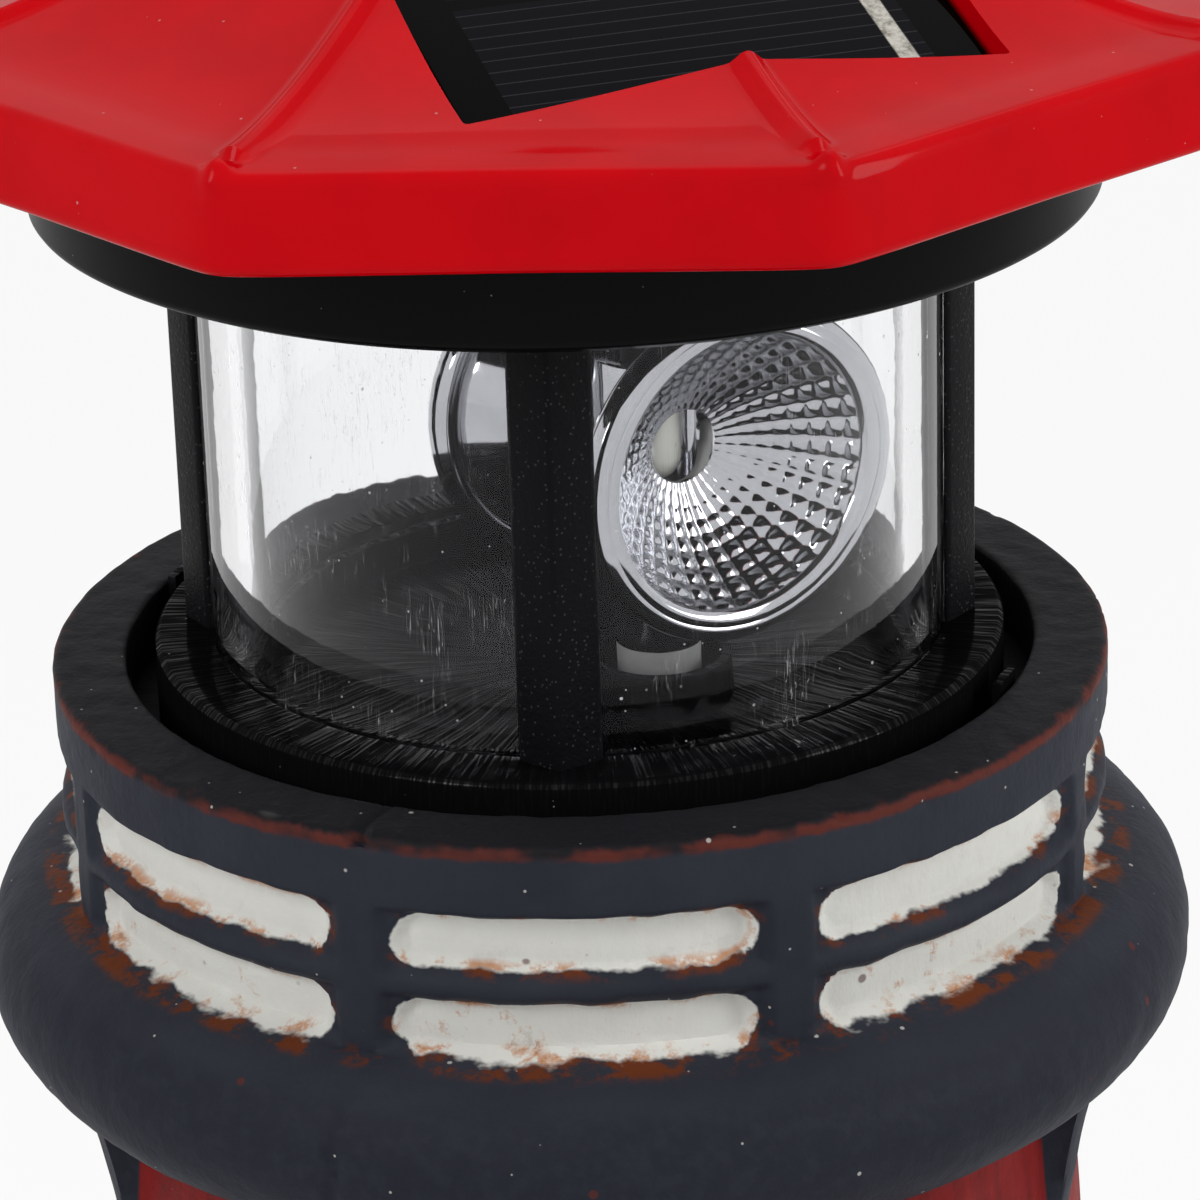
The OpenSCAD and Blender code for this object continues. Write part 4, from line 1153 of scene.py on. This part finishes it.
@dataclass
class TowerCasting(Assembly):
    """The cast tower: its gallery with the roll, and the shaft below on its plinth."""

    gallery: Gallery = Gallery()
    shaft: Shaft = Shaft()
    gallery_columns: int = 540
    shaft_columns: int = 360

    def build(self) -> None:
        """Makes the gallery, the shaft, the door step and the pads."""
        gallery = reshape(lathe(self.gallery_profile(), self.gallery_columns), self.gallery_rule)
        shaft = reshape(lathe(self.shaft_profile(), self.shaft_columns), self.shaft_rule)
        paint = self.finishes["cast_paint"]
        rows = [
            ("gallery_casting", gallery, 60.0),
            ("shaft_casting", shaft, 60.0),
            ("door_step", self.door_step(), 35.0),
        ]
        for name, bm, sharp in rows:
            finished(name, bm, paint, Body.TOWER, ["tower_casting"], sharp)
        self.soften("anti_slip_pads", "rubber_black", "rubber_black", 0.3, Body.TOWER)

    def gallery_profile(self) -> list[tuple[float, float]]:
        """Cross-section of the gallery, with fine rows outside.

        Returns:
            The profile's points, closed.
        """
        g, top = self.gallery, GALLERY_Z
        start = math.degrees(math.acos((g.wall_r - g.roll_r) / g.roll_tube))
        end = -math.degrees(math.acos((g.neck_r - g.roll_r) / g.roll_tube))
        sweep = [start + (end - start) * k / 70 for k in range(71)]
        roll = arc((g.roll_r, top + g.roll_z), g.roll_tube, sweep)
        shoulder = arc((g.wall_r - g.edge, top - g.edge), g.edge, range(90, -1, -18))
        lip = arc((g.recess_r + g.lip, top - g.lip), g.lip, range(180, 89, -30))
        outside = spaced([lip[-1], shoulder[0]], 0.45, closed=False) + shoulder[1:-1]
        outside += spaced([shoulder[-1], roll[0]], 0.42, closed=False)[:-1] + roll
        inside = [(g.bore_r + 0.4, top + g.crease_z - 0.1), (g.bore_r, top + g.crease_z + 0.4),
                  (g.bore_r, top + g.ledge), (g.recess_r, top + g.ledge)]
        recess = spaced([(g.recess_r, top + g.ledge + 0.5), lip[0]], 1.0, closed=False)
        return outside + inside + recess + lip[1:-1]

    def gallery_rule(self, points: np.ndarray) -> np.ndarray:
        """Sinks the bays and slots, raises the rails and roughens the casting.

        Args:
            points: the turned places.

        Returns:
            The places of the finished gallery.
        """
        g = self.gallery
        radius = np.hypot(points[:, 0], points[:, 1])
        azimuth = np.degrees(np.arctan2(points[:, 0], -points[:, 1]))
        z = points[:, 2] - GALLERY_Z
        outward = points[:, :2] / radius[:, None]
        waver = grain(points, 3.4, 4.0)
        slow = grain(points, 13.0, 2.0)
        fine = grain(points, 1.5, 7.0)
        depth = g.recess(azimuth, z + waver * 0.32, waver)
        wall = (radius > 46.0) & (z < -0.5) & (z > g.wall_foot)
        roll = (z <= g.wall_foot) & (radius > 45.0)
        seam = 1.0 - ease(np.abs((azimuth - g.seam_azimuth) * 0.9 + waver * 0.6), 0.15, 0.75)
        crack = seam * ((z > -1.2) | (z < -21.0)) * (radius > 43.2) * 0.45
        top_edge = ease(radius, 48.6, 49.8) * ease(z, -2.2, -0.4)
        chip = np.clip(grain(points, 2.6, 19.0) - 0.42, 0.0, 1.0) * 2.6 * top_edge
        body = slow * 0.22 + waver * 0.1 + fine * 0.05
        move = np.where(wall, body * 0.8 - depth, 0.0) + np.where(roll, body * 1.2, 0.0)
        move = move - np.where(wall | roll, crack, 0.0) - chip
        points[:, :2] += outward * move[:, None]
        top = (z > -1.2) & (radius > g.recess_r)
        drop = np.maximum(waver * 0.12 + fine * 0.07 + 0.12 + crack + chip * 0.4, 0.0)
        points[:, 2] -= np.where(top, drop, 0.0)
        return points

    def shaft_profile(self) -> list[tuple[float, float]]:
        """Cross-section of the shaft and plinth, with fine rows outside.

        Returns:
            The profile's points, closed.
        """
        s, bore = self.shaft, self.gallery.bore_r
        neck_z = GALLERY_Z + self.gallery.crease_z + 1.2
        outline = rounded([
            (s.hollow_r, s.pad_z, 0.3), (s.plinth_r, s.pad_z, 1.4), (s.plinth_r, s.plinth_z, 2.2),
            (s.step_r, s.plinth_z, 0.5), (s.step_r, s.step_z, 1.8), (s.foot_r, s.step_z, 0.6),
            (float(s.wall(neck_z)), neck_z, 0.0), (bore + 0.6, neck_z, 0.0), (bore, neck_z - 1.0, 0.0),
            (bore, s.hollow_top, 0.0), (s.hollow_r, s.step_z, 0.0)])
        turn = next(i for i, point in enumerate(outline) if point[0] < bore + 1.0)
        return spaced(outline[:turn], 1.0, closed=False) + outline[turn:]

    def shaft_rule(self, points: np.ndarray) -> np.ndarray:
        """Raises the frames and brackets, sinks the panes and roughens the casting.

        Args:
            points: the turned places.

        Returns:
            The places of the finished shaft.
        """
        s = self.shaft
        radius = np.hypot(points[:, 0], points[:, 1])
        azimuth = np.degrees(np.arctan2(points[:, 0], -points[:, 1]))
        z = points[:, 2]
        outward = points[:, :2] / radius[:, None]
        wall = (radius > s.wall(z) - 1.0) & (z > s.step_z + 0.5)
        waver = grain(points, 4.0, 4.0)
        slow = grain(points, 16.0, 2.0)
        relief = s.arch_relief(azimuth, z + waver * 0.15) + s.bracket_relief(azimuth, z)
        rough = slow * 0.3 + waver * 0.12
        step = (radius > s.hollow_r + 2.0) & (z > s.pad_z + 0.5)
        move = np.where(wall, relief + rough, np.where(step, rough * 0.6 - 0.2, 0.0))
        points[:, :2] += outward * move[:, None]
        return points

    def door_step(self) -> Mesh:
        """The half-round step under the door.

        Returns:
            Its mesh.
        """
        s = self.shaft
        low = s.step_z - 0.6
        bm = lathe(rounded([(0.0, low, 0.0), (s.door_step_r, low, 0.0),
                            (s.door_step_r, s.door_step_z, 0.7), (0.0, s.door_step_z, 0.0)]), 64)
        return placed(bm, facing(TOWER_TURN) @ Matrix.Translation((0, 3.0 - s.foot_r, 0)))


# ------------------------------------------------------------------------- roof

@dataclass
class RoofAssembly(Assembly):
    """The red eight-sided roof with its ribs and pocket, and the solar panel in it."""

    facet: float = 45.0
    half: float = 60.4
    flat: float = 56.0
    rise: float = 29.5
    power: float = 1.5
    slope_rows: int = 46
    eave_z: float = 53.8
    fascia: float = 8.6
    fascia_wall: float = 2.3
    rib_half: float = 1.7
    rib_h: float = 1.0
    hip_blunt: float = 1.6
    tray_top: float = 56.3
    peak_r: float = 5.5
    peak_h: float = 2.0
    per_facet: int = 44
    pocket_az: float = 22.5
    pocket_w: float = 48.4
    panel_w: float = 47.0
    panel_l: float = 38.5
    tilt: float = 18.0
    reach: float = 44.6
    panel_drop: float = 0.8
    panel_start: float = 0.4
    panel_t: float = 2.6
    resin_t: float = 1.4

    @property
    def top(self) -> float:
        """Height of the fascia's upper edge above the flange."""
        return self.eave_z + self.fascia

    def build(self) -> None:
        """Makes the roof and the panel."""
        red = self.finishes["roof_red"]
        finished("roof_moulding", self.roof(), red, Body.LANTERN, ["roof_shell"], sharp=42.0)
        origin = self.panel_matrix() @ Vector((0.0, self.panel_start, 0.0))
        face = PanelFace(tuple(origin), (self.tilt, 0.0, self.pocket_az), self.panel_w, self.panel_l)
        finished("panel_slab", self.slab(), face.material(), Body.LANTERN,
                 ["panel_resin", "solar_cells", "cell_ribbons"])
        self.soften("panel_board", "board_black", "board_black", 0.12)

    def panel_matrix(self) -> Matrix:
        """Place of the panel's front edge, with its top face at height 0."""
        front = Matrix.Translation((0, -self.reach, FLANGE_Z + self.top - self.panel_drop))
        return facing(self.pocket_az) @ front @ Matrix.Rotation(math.radians(self.tilt), 4, "X")

    def roof(self) -> Mesh:
        """The roof's solid, with its pocket cut.

        Returns:
            Its mesh.
        """
        corners = rounded([
            (0.0, self.tray_top, 0.0), (self.half - self.fascia_wall, self.tray_top, 0.4),
            (self.half - self.fascia_wall + 0.2, self.eave_z, 0.3), (self.half, self.eave_z, 0.7),
            (self.half, self.top, 1.3), (self.flat, self.top, 0.0)], 5)
        fascia = spaced(corners[-8:], 0.7, closed=False)
        rows = self.slope_rows
        slope = [(self.flat * (1 - k / rows), self.top) for k in range(1, rows)] + [(0.0, self.top)]
        profile = corners[:-8] + fascia + slope
        bm = reshape(lathe(profile, 8 * self.per_facet, closed=False), self.roof_rule)
        bmesh.ops.translate(bm, vec=(0, 0, FLANGE_Z), verts=bm.verts[:])
        bmesh.ops.recalc_face_normals(bm, faces=bm.faces[:])
        return self.cut_pocket(bm)

    def climb(self, rho: np.ndarray) -> np.ndarray:
        """How far the slope has risen at a distance from the axis."""
        share = (self.flat - np.maximum(rho, self.peak_r - 1.0)) / self.flat
        return self.rise * np.clip(share, 0.0, 1.0) ** self.power

    def roof_rule(self, points: np.ndarray) -> np.ndarray:
        """Turns the round rows into eight facets with ribs, and raises the slope.

        Args:
            points: the turned places.

        Returns:
            The places of the finished roof.
        """
        half_facet = self.facet / 2
        rho = np.hypot(points[:, 0], points[:, 1])
        azimuth = np.degrees(np.arctan2(points[:, 0], -points[:, 1]))
        facet = np.round(azimuth / self.facet) * self.facet
        share = (azimuth - facet) / half_facet
        off = np.sign(share) * half_facet * (1.0 - (1.0 - np.abs(share)) ** 1.7)
        hip = np.radians(half_facet - np.abs(off))
        blunt = self.hip_blunt / np.maximum(rho, 8.0)
        soft = np.sqrt(hip * hip + blunt * blunt) - blunt * 0.55
        radius = rho / np.cos(np.radians(half_facet) - soft)
        turned = np.radians(facet + off)

        top = self.top
        sloped = (points[:, 2] > top - 1e-3) & (rho < self.flat)
        sag = np.sin(np.clip(rho / self.flat, 0, 1) * math.pi) * np.cos(np.radians(off) * 4.0)
        z = points[:, 2] + np.where(sloped, self.climb(rho) - sag * 0.12, 0.0)
        bump = (1.0 - ease(radius * np.sin(hip), 0.15, self.rib_half)) * self.rib_h
        on_top = np.where(z > top - 1.4, 1.0, ease(z, top - 5.5, top - 1.4) * 0.35)
        inner = (points[:, 2] < top - 0.1) & (rho < self.half - 1.6)
        bump = np.where(inner | (rho >= self.half + 0.1), 0.0, bump * on_top)
        above = ease(z, top - 1.6, top - 0.2)
        z = z + bump * above
        radius = radius + bump * (1.0 - above) * 0.6 - ease(rho, self.flat, self.half) * above * 0.15
        dome_r = (self.peak_r ** 2 + self.peak_h ** 2) / (2 * self.peak_h)
        dome = np.sqrt(np.maximum(dome_r ** 2 - rho ** 2, 0.0)) - dome_r + self.peak_h + 0.6
        peak = top + float(self.climb(np.array(0.0)))
        z = np.where(sloped & (rho < self.peak_r), np.maximum(z, peak + dome), z)
        return np.stack([radius * np.sin(turned), -radius * np.cos(turned), z], axis=1)

    def cut_pocket(self, bm: Mesh) -> Mesh:
        """Cuts the panel's pocket out of the roof, and rounds its rim.

        Args:
            bm: the roof without its pocket, in millimetres.

        Returns:
            The cut roof, in millimetres.
        """
        half, deep = self.pocket_w / 2, self.panel_l + 2 * self.panel_start
        outline = [(-half, 0.0), (half, 0.0), (half, deep), (-half, deep)]
        cut = prism(outline, -self.panel_t - 0.1, 34.0, 0.45)
        blank = linked("roof_blank", scaled(bm, MM))
        cutter = linked("pocket_cut", placed(cut, Matrix.Scale(MM, 4) @ self.panel_matrix()))
        cutting = blank.modifiers.new("pocket", "BOOLEAN")
        cutting.operation, cutting.solver, cutting.object = "DIFFERENCE", "EXACT", cutter
        bpy.context.view_layer.update()
        result = bpy.data.meshes.new_from_object(blank.evaluated_get(bpy.context.evaluated_depsgraph_get()))
        roof = bmesh.new()
        roof.from_mesh(result)
        for thing in (blank, cutter):
            bpy.data.objects.remove(thing)
        return scaled(roof, 1 / MM)

    def slab(self) -> Mesh:
        """The panel's clear resin block with its black face.

        Returns:
            Its mesh.
        """
        half = self.panel_w / 2
        start, end = self.panel_start, self.panel_start + self.panel_l
        bm = prism([(-half, start), (half, start), (half, end), (-half, end)], -self.resin_t, 0.0, 0.3)
        return placed(bm, self.panel_matrix())


# ---------------------------------------------------------------------- housing

@dataclass
class HousingAssembly(Assembly):
    """Black ring, tray and ceiling under the roof, the four posts, the lens and its seals."""

    ring_r: float = 49.1
    ring_z: float = 43.0
    ceiling_z: float = 46.9
    tray_z: float = 54.3
    tray_half: float = 58.0
    wall: float = 2.0
    slip: float = 0.2
    rim_r: float = 34.2
    rim_wall: float = 0.7
    post_w: float = 7.4
    post_back: float = 34.3
    post_ridge: float = 37.6
    post_side: float = 0.7
    post_edge: float = 0.42
    lens_r: float = 34.0
    lens_wall: float = 2.5
    lens_low: float = -0.9
    lens_high: float = 46.4
    columns: int = 256

    def build(self) -> None:
        """Makes the ring, tray, ceiling, posts, lens and the small pieces with them."""
        posts = joined(self.post(i * 90.0) for i in range(4))
        rows = [
            ("housing_ring", self.ring(), "ring_black", "housing_black", "upper_housing"),
            ("housing_tray", self.tray(), "ring_black", "housing_black", "upper_housing"),
            ("lens_ceiling", self.ceiling(), "ring_black", "housing_black", "lens_cage"),
            ("lantern_posts", posts, "post_black", "housing_black", "lens_cage"),
            ("lens_cylinder", self.lens(), "clear_lens", "clear_plastic", "lens_tube"),
        ]
        for name, bm, finish, slot, node in rows:
            finished(name, bm, self.finishes[finish], Body.LANTERN, [node])
        self.soften("lens_seals", "rubber_black", "rubber_black", 0.1)
        self.soften("roof_screws", "screw_steel", "screw_steel", 0.12)

    def ring(self) -> Mesh:
        """The ring, open above and below.

        Returns:
            Its mesh.
        """
        inner, top = self.ring_r - self.wall, self.tray_z + 0.2
        return on_flange(lathe(rounded([
            (inner, self.ring_z, 0.5), (self.ring_r, self.ring_z, 0.9),
            (self.ring_r, top, 0.0), (inner, top, 0.0)]), self.columns))

    def ceiling(self) -> Mesh:
        """The ceiling over the lens, with the rim that holds it.

        Returns:
            Its mesh.
        """
        edge, low, top = self.ring_r - self.wall - self.slip, self.ceiling_z, self.ceiling_z + self.wall
        disc = rounded([(0.0, low, 0.0), (edge, low, 0.3), (edge, top, 0.3), (0.0, top, 0.0)])
        outer = self.rim_r + self.rim_wall
        rim = rounded([(self.rim_r, low - 2.0, 0.2), (outer, low - 2.0, 0.3),
                       (outer, low + 0.3, 0.0), (self.rim_r, low + 0.3, 0.0)])
        return on_flange(joined([lathe(disc, self.columns, closed=False), lathe(rim, 160)]))

    def tray(self) -> Mesh:
        """The eight-sided tray that closes the roof.

        Returns:
            Its mesh.
        """
        reach = self.tray_half / math.cos(math.radians(22.5))
        corners = arc((0.0, 0.0), reach, (22.5 + 45.0 * i for i in range(8)))
        return on_flange(prism(corners, self.tray_z, self.tray_z + self.wall, 0.25))

    def post(self, azimuth: float) -> Mesh:
        """One V-ridged post.

        Args:
            azimuth: the post's angle from the front.

        Returns:
            Its mesh.
        """
        half, back = self.post_w / 2, -self.post_back
        side = back - self.post_side
        outline = [(-half, back), (-half, side), (0.0, -self.post_ridge), (half, side), (half, back)]
        bm = prism(outline, 0.0, self.ceiling_z + 0.3)
        upright = [e for e in bm.edges if abs(e.verts[0].co.z - e.verts[1].co.z) > 1.0]
        bevelled(bm, upright, self.post_edge, clamp=False)
        return placed(bm, Matrix.Translation((0, 0, FLANGE_Z)) @ facing(azimuth))

    def lens(self) -> Mesh:
        """The clear tube, with rounded rims.

        Returns:
            Its mesh.
        """
        inner = self.lens_r - self.lens_wall
        profile = rounded([(inner, self.lens_low, 0.3), (self.lens_r, self.lens_low, 0.3),
                           (self.lens_r, self.lens_high, 0.3), (inner, self.lens_high, 0.3)])
        return on_flange(lathe(spaced(profile, 6.0), self.columns))


# ------------------------------------------------------------------------- base

@dataclass
class BaseAssembly(Assembly):
    """The flange with its well and boss, the cup and all that they hold."""

    def build(self) -> None:
        """Dresses each piece under the lens in its own CAD shape."""
        rows = [
            ("base_flange", "base_black", "base_black", 0.25, Body.LANTERN),
            ("base_cup", "cup_black", "base_black", 0.25, Body.LANTERN),
            ("battery_door", "cup_black", "base_black", 0.15, Body.LANTERN),
            ("post_screws", "screw_steel", "screw_steel", 0.1, Body.LANTERN),
            ("door_screw", "screw_steel", "screw_steel", 0.1, Body.LANTERN),
            ("bracket_screws", "screw_steel", "screw_steel", 0.1, Body.LANTERN),
            ("motor_bracket", "can_steel", "can_steel", 0.1, Body.LANTERN),
            ("motor", "can_steel", "can_steel", 0.3, Body.LANTERN),
            ("battery_cell", "cell_sleeve", "cell_sleeve", 0.3, Body.LANTERN),
            ("battery_contacts", "screw_steel", "screw_steel", 0.08, Body.LANTERN),
            ("circuit_board", "board_green", "board_green", 0.08, Body.LANTERN),
            ("board_parts", "parts_black", "board_black", 0.12, Body.LANTERN),
            ("switch_body", "parts_black", "board_black", 0.12, Body.LANTERN),
            ("switch_slider", "nylon_white", "nylon_white", 0.15, Body.SWITCH),
            ("motor_shaft", "can_steel", "can_steel", 0.08, Body.DRIVE),
            ("pinion", "gear_brass", "gear_brass", 0.04, Body.DRIVE),
            ("spindle_gear", "nylon_white", "nylon_white", 0.05, Body.BEACON),
        ]
        for row in rows:
            self.soften(*row)


# ----------------------------------------------------------------------- beacon

@dataclass
class BeaconAssembly(Assembly):
    """The spindle, the plated body and its two faceted bowls, and the lamp between them."""

    axis_x: float = 7.7
    axis_y: float = -6.6
    middle: float = 20.8
    turn: float = 36.0
    body_flat: float = 4.7
    throat_r: float = 3.5
    rim_r: float = 15.1
    rim_w: float = 1.5
    depth: float = 8.5
    wall: float = 0.9
    columns: int = 36
    rows: int = 9
    per_facet: int = 6
    crowding: float = 1.5
    pillow: float = 0.42

    def build(self) -> None:
        """Makes the bowls and dresses the pieces on the beacon's axis."""
        chrome = self.finishes["chrome"]
        for end, side in (("front", 0.0), ("rear", 180.0)):
            finished(end + "_bowl", self.bowl(side), chrome, Body.BEACON,
                     [end + "_reflector"], sharp=50.0)
        self.soften("beacon_body", "chrome", "chromed_plastic", 0.25, Body.BEACON)
        self.soften("spindle", "spindle_grey", "nylon_white", 0.2, Body.BEACON)
        self.soften("lamp_carrier", "carrier_dark", "housing_black", 0.2)
        self.soften("lamp", "lamp_clear", "lamp_clear", 0.15)

    def bowl_radius(self, d: np.ndarray) -> np.ndarray:
        """Radius of the bowl's inside at a distance from its seat."""
        mouth = self.rim_r - self.rim_w
        return np.sqrt(self.throat_r ** 2 + (mouth ** 2 - self.throat_r ** 2) * d / self.depth)

    def wall_points(self, distances: Iterable[float], offset: float = 0.0) -> list[tuple[float, float]]:
        """Points along the bowl's wall, at distances from its seat."""
        return [(float(self.bowl_radius(np.array(d))) + offset, d) for d in distances]

    def bowl(self, side: float) -> Mesh:
        """One bowl with pillowed facets, a scalloped inner edge and a double rim.

        Args:
            side: angle that the bowl is turned about the beacon's axis.

        Returns:
            Its mesh.
        """
        mouth, rim_r, depth = self.rim_r - self.rim_w, self.rim_r, self.depth
        fine = self.rows * self.per_facet
        inside = self.wall_points(depth * (k / fine) ** self.crowding for k in range(fine + 1))
        outside = self.wall_points((depth * 0.84 * (k / 12) for k in range(12, -1, -1)), self.wall)
        rim = rounded([
            (mouth + 0.1, depth + 0.1, 0.12), (mouth + 0.45, depth + 0.1, 0.15),
            (mouth + 0.6, depth - 0.35, 0.12), (rim_r - 0.55, depth - 0.35, 0.12),
            (rim_r - 0.4, depth + 0.1, 0.15), (rim_r, depth + 0.1, 0.2),
            (rim_r, depth - 1.3, 0.25), (outside[0][0], depth - 1.35, 0.0)], 3)
        bm = reshape(lathe(inside + rim + outside, self.columns * self.per_facet), self.pillow_rule)
        bmesh.ops.recalc_face_normals(bm, faces=bm.faces[:])
        place = Matrix.Translation((self.axis_x, self.axis_y, FLANGE_Z)) @ facing(self.turn + side)
        place = place @ Matrix.Translation((0, -self.body_flat, self.middle))
        return placed(bm, place @ Matrix.Rotation(math.pi / 2, 4, "X"))

    def pillow_rule(self, points: np.ndarray) -> np.ndarray:
        """Swells each facet of the bowl's inside towards the axis.

        Args:
            points: the turned places.

        Returns:
            The places of the finished bowl.
        """
        radius = np.hypot(points[:, 0], points[:, 1])
        d = np.clip(points[:, 2], 0.0, self.depth)
        on_face = np.abs(radius - self.bowl_radius(d)) < 0.02
        azimuth = np.degrees(np.arctan2(points[:, 1], points[:, 0]))
        round_share = (azimuth / (360.0 / self.columns)) % 1.0
        row_share = ((d / self.depth) ** (1 / self.crowding) * self.rows) % 1.0
        swell = np.sin(round_share * math.pi) * (0.35 + 0.65 * np.sin(row_share * math.pi))
        height = self.pillow * np.clip(radius / self.rim_r, 0.3, 1.0)
        inward = np.where(on_face, swell * height, 0.0)
        points[:, :2] *= (1.0 - inward / np.maximum(radius, 1e-6))[:, None]
        points[:, 2] += inward * 0.35
        return points


# ------------------------------------------------------------------------ studio

@dataclass(frozen=True)
class Softbox:
    """A large soft lamp, with its place in millimetres, its size in metres and its power in watts."""

    name: str
    place: Point
    target: Point
    width: float
    height: float
    power: float

    def build(self) -> None:
        """Makes the lamp, turned towards its target."""
        data = bpy.data.lights.new(self.name, "AREA")
        data.shape, data.energy = "RECTANGLE", self.power
        data.size, data.size_y = self.width, self.height
        lamp = bpy.data.objects.new(self.name, data)
        bpy.context.scene.collection.objects.link(lamp)
        lamp.location = Vector(self.place) * MM
        lamp.rotation_euler = (Vector(self.target) - Vector(self.place)).to_track_quat("-Z", "Y").to_euler()


@dataclass(frozen=True)
class Studio:
    """Pale floor, white surround, soft lamps and the camera of the photograph."""

    lens: float = 150.0
    sensor: float = 36.0
    eye: Point = (0.0, -439.553, 178.842)
    yaw: float = 0.0046
    pitch: float = 0.3845
    roll: float = 0.030
    turn: float = 3.3
    ambient: float = 0.3
    floor_glow: float = 0.9
    floor_half: float = 4.0
    floor_tones: tuple[Colour, Colour] = ((0.93, 0.93, 0.93), (0.90, 0.90, 0.905))
    rays: tuple[str, ...] = ("Is Camera Ray", "Is Glossy Ray", "Is Transmission Ray")
    lamps: tuple[Softbox, ...] = (
        Softbox("key_softbox", (-420.0, -520.0, 700.0), (0.0, 0.0, 250.0), 0.3, 0.45, 3.0),
        Softbox("side_softbox", (620.0, -160.0, 480.0), (0.0, 0.0, 240.0), 0.22, 0.55, 2.4),
        Softbox("top_softbox", (60.0, 260.0, 900.0), (0.0, 0.0, 260.0), 0.5, 0.5, 0.9))

    def build(self) -> None:
        """Makes the floor, the world, the lamps and the camera."""
        self.floor()
        self.world()
        for lamp in self.lamps:
            lamp.build()
        self.camera()

    def floor(self) -> None:
        """A plain pale floor, which is white to the camera but keeps the ornament's shadow."""
        bm = bmesh.new()
        bmesh.ops.create_grid(bm, x_segments=8, y_segments=8, size=self.floor_half)
        r = Recipe("floor_pale")
        r.finish(Base_Color=r.mix(r.noise(400.0, 2.0, 0.5) * 0.4, *self.floor_tones), Roughness=0.85)
        path = r.node("ShaderNodeLightPath", {}, {})
        camera, glossy, through = (Num(r, path.outputs[ray]) for ray in self.rays)
        seen = camera.most(glossy).most(through)
        white = r.node("ShaderNodeEmission", {}, {"Color": (1.0, 1.0, 1.0), "Strength": 1.0})
        floor = linked("floor", bm)
        floor.data.materials.append(r.overlay(seen * self.floor_glow, white))

    def world(self) -> None:
        """White to the camera, in reflections and through the lens, and dim as light."""
        world = bpy.data.worlds.new("studio_world")
        bpy.context.scene.world = world
        world.use_nodes = True
        tree = world.node_tree
        back = tree.nodes["Background"]
        back.inputs["Color"].default_value = (1.0, 1.0, 1.0, 1.0)
        path = tree.nodes.new("ShaderNodeLightPath")
        strength = tree.nodes.new("ShaderNodeValue").outputs[0]
        strength.default_value = self.ambient
        for ray in self.rays:
            most = tree.nodes.new("ShaderNodeMath")
            most.operation = "MAXIMUM"
            tree.links.new(path.outputs[ray], most.inputs[0])
            tree.links.new(strength, most.inputs[1])
            strength = most.outputs[0]
        tree.links.new(strength, back.inputs["Strength"])

    def camera(self) -> None:
        """The photograph's camera, from the fit of its round and straight edges."""
        data = bpy.data.cameras.new("camera")
        data.lens, data.sensor_width, data.sensor_fit = self.lens, self.sensor, "HORIZONTAL"
        data.clip_start, data.clip_end = 0.01, 50.0
        level = math.cos(self.pitch)
        ahead = Vector((math.sin(self.yaw) * level, math.cos(self.yaw) * level, -math.sin(self.pitch)))
        right = Vector((math.cos(self.yaw), -math.sin(self.yaw), 0.0))
        down = ahead.cross(right)
        right, down = (math.cos(self.roll) * right + math.sin(self.roll) * down,
                       math.cos(self.roll) * down - math.sin(self.roll) * right)
        axes = Matrix((right, -down, -ahead)).transposed()
        camera = bpy.data.objects.new("camera", data)
        bpy.context.scene.collection.objects.link(camera)
        turned = facing(self.turn)
        eye = turned @ Vector(self.eye) + Vector((0, 0, FLANGE_Z))
        camera.matrix_world = Matrix.Translation(eye * MM) @ (turned @ axes.to_4x4())
        bpy.context.scene.camera = camera


# -------------------------------------------------------------------------- main

def main() -> None:
    """Builds and dresses the whole ornament, and the studio round it."""
    logging.basicConfig(level=logging.INFO)
    finishes = {finish.name: finish.material() for finish in FINISHES}
    for assembly in (TowerCasting, RoofAssembly, HousingAssembly, BaseAssembly, BeaconAssembly):
        assembly(finishes).build()
    Studio().build()
    bpy.context.scene.view_settings.view_transform = "Standard"


if __name__ == "__main__":
    main()
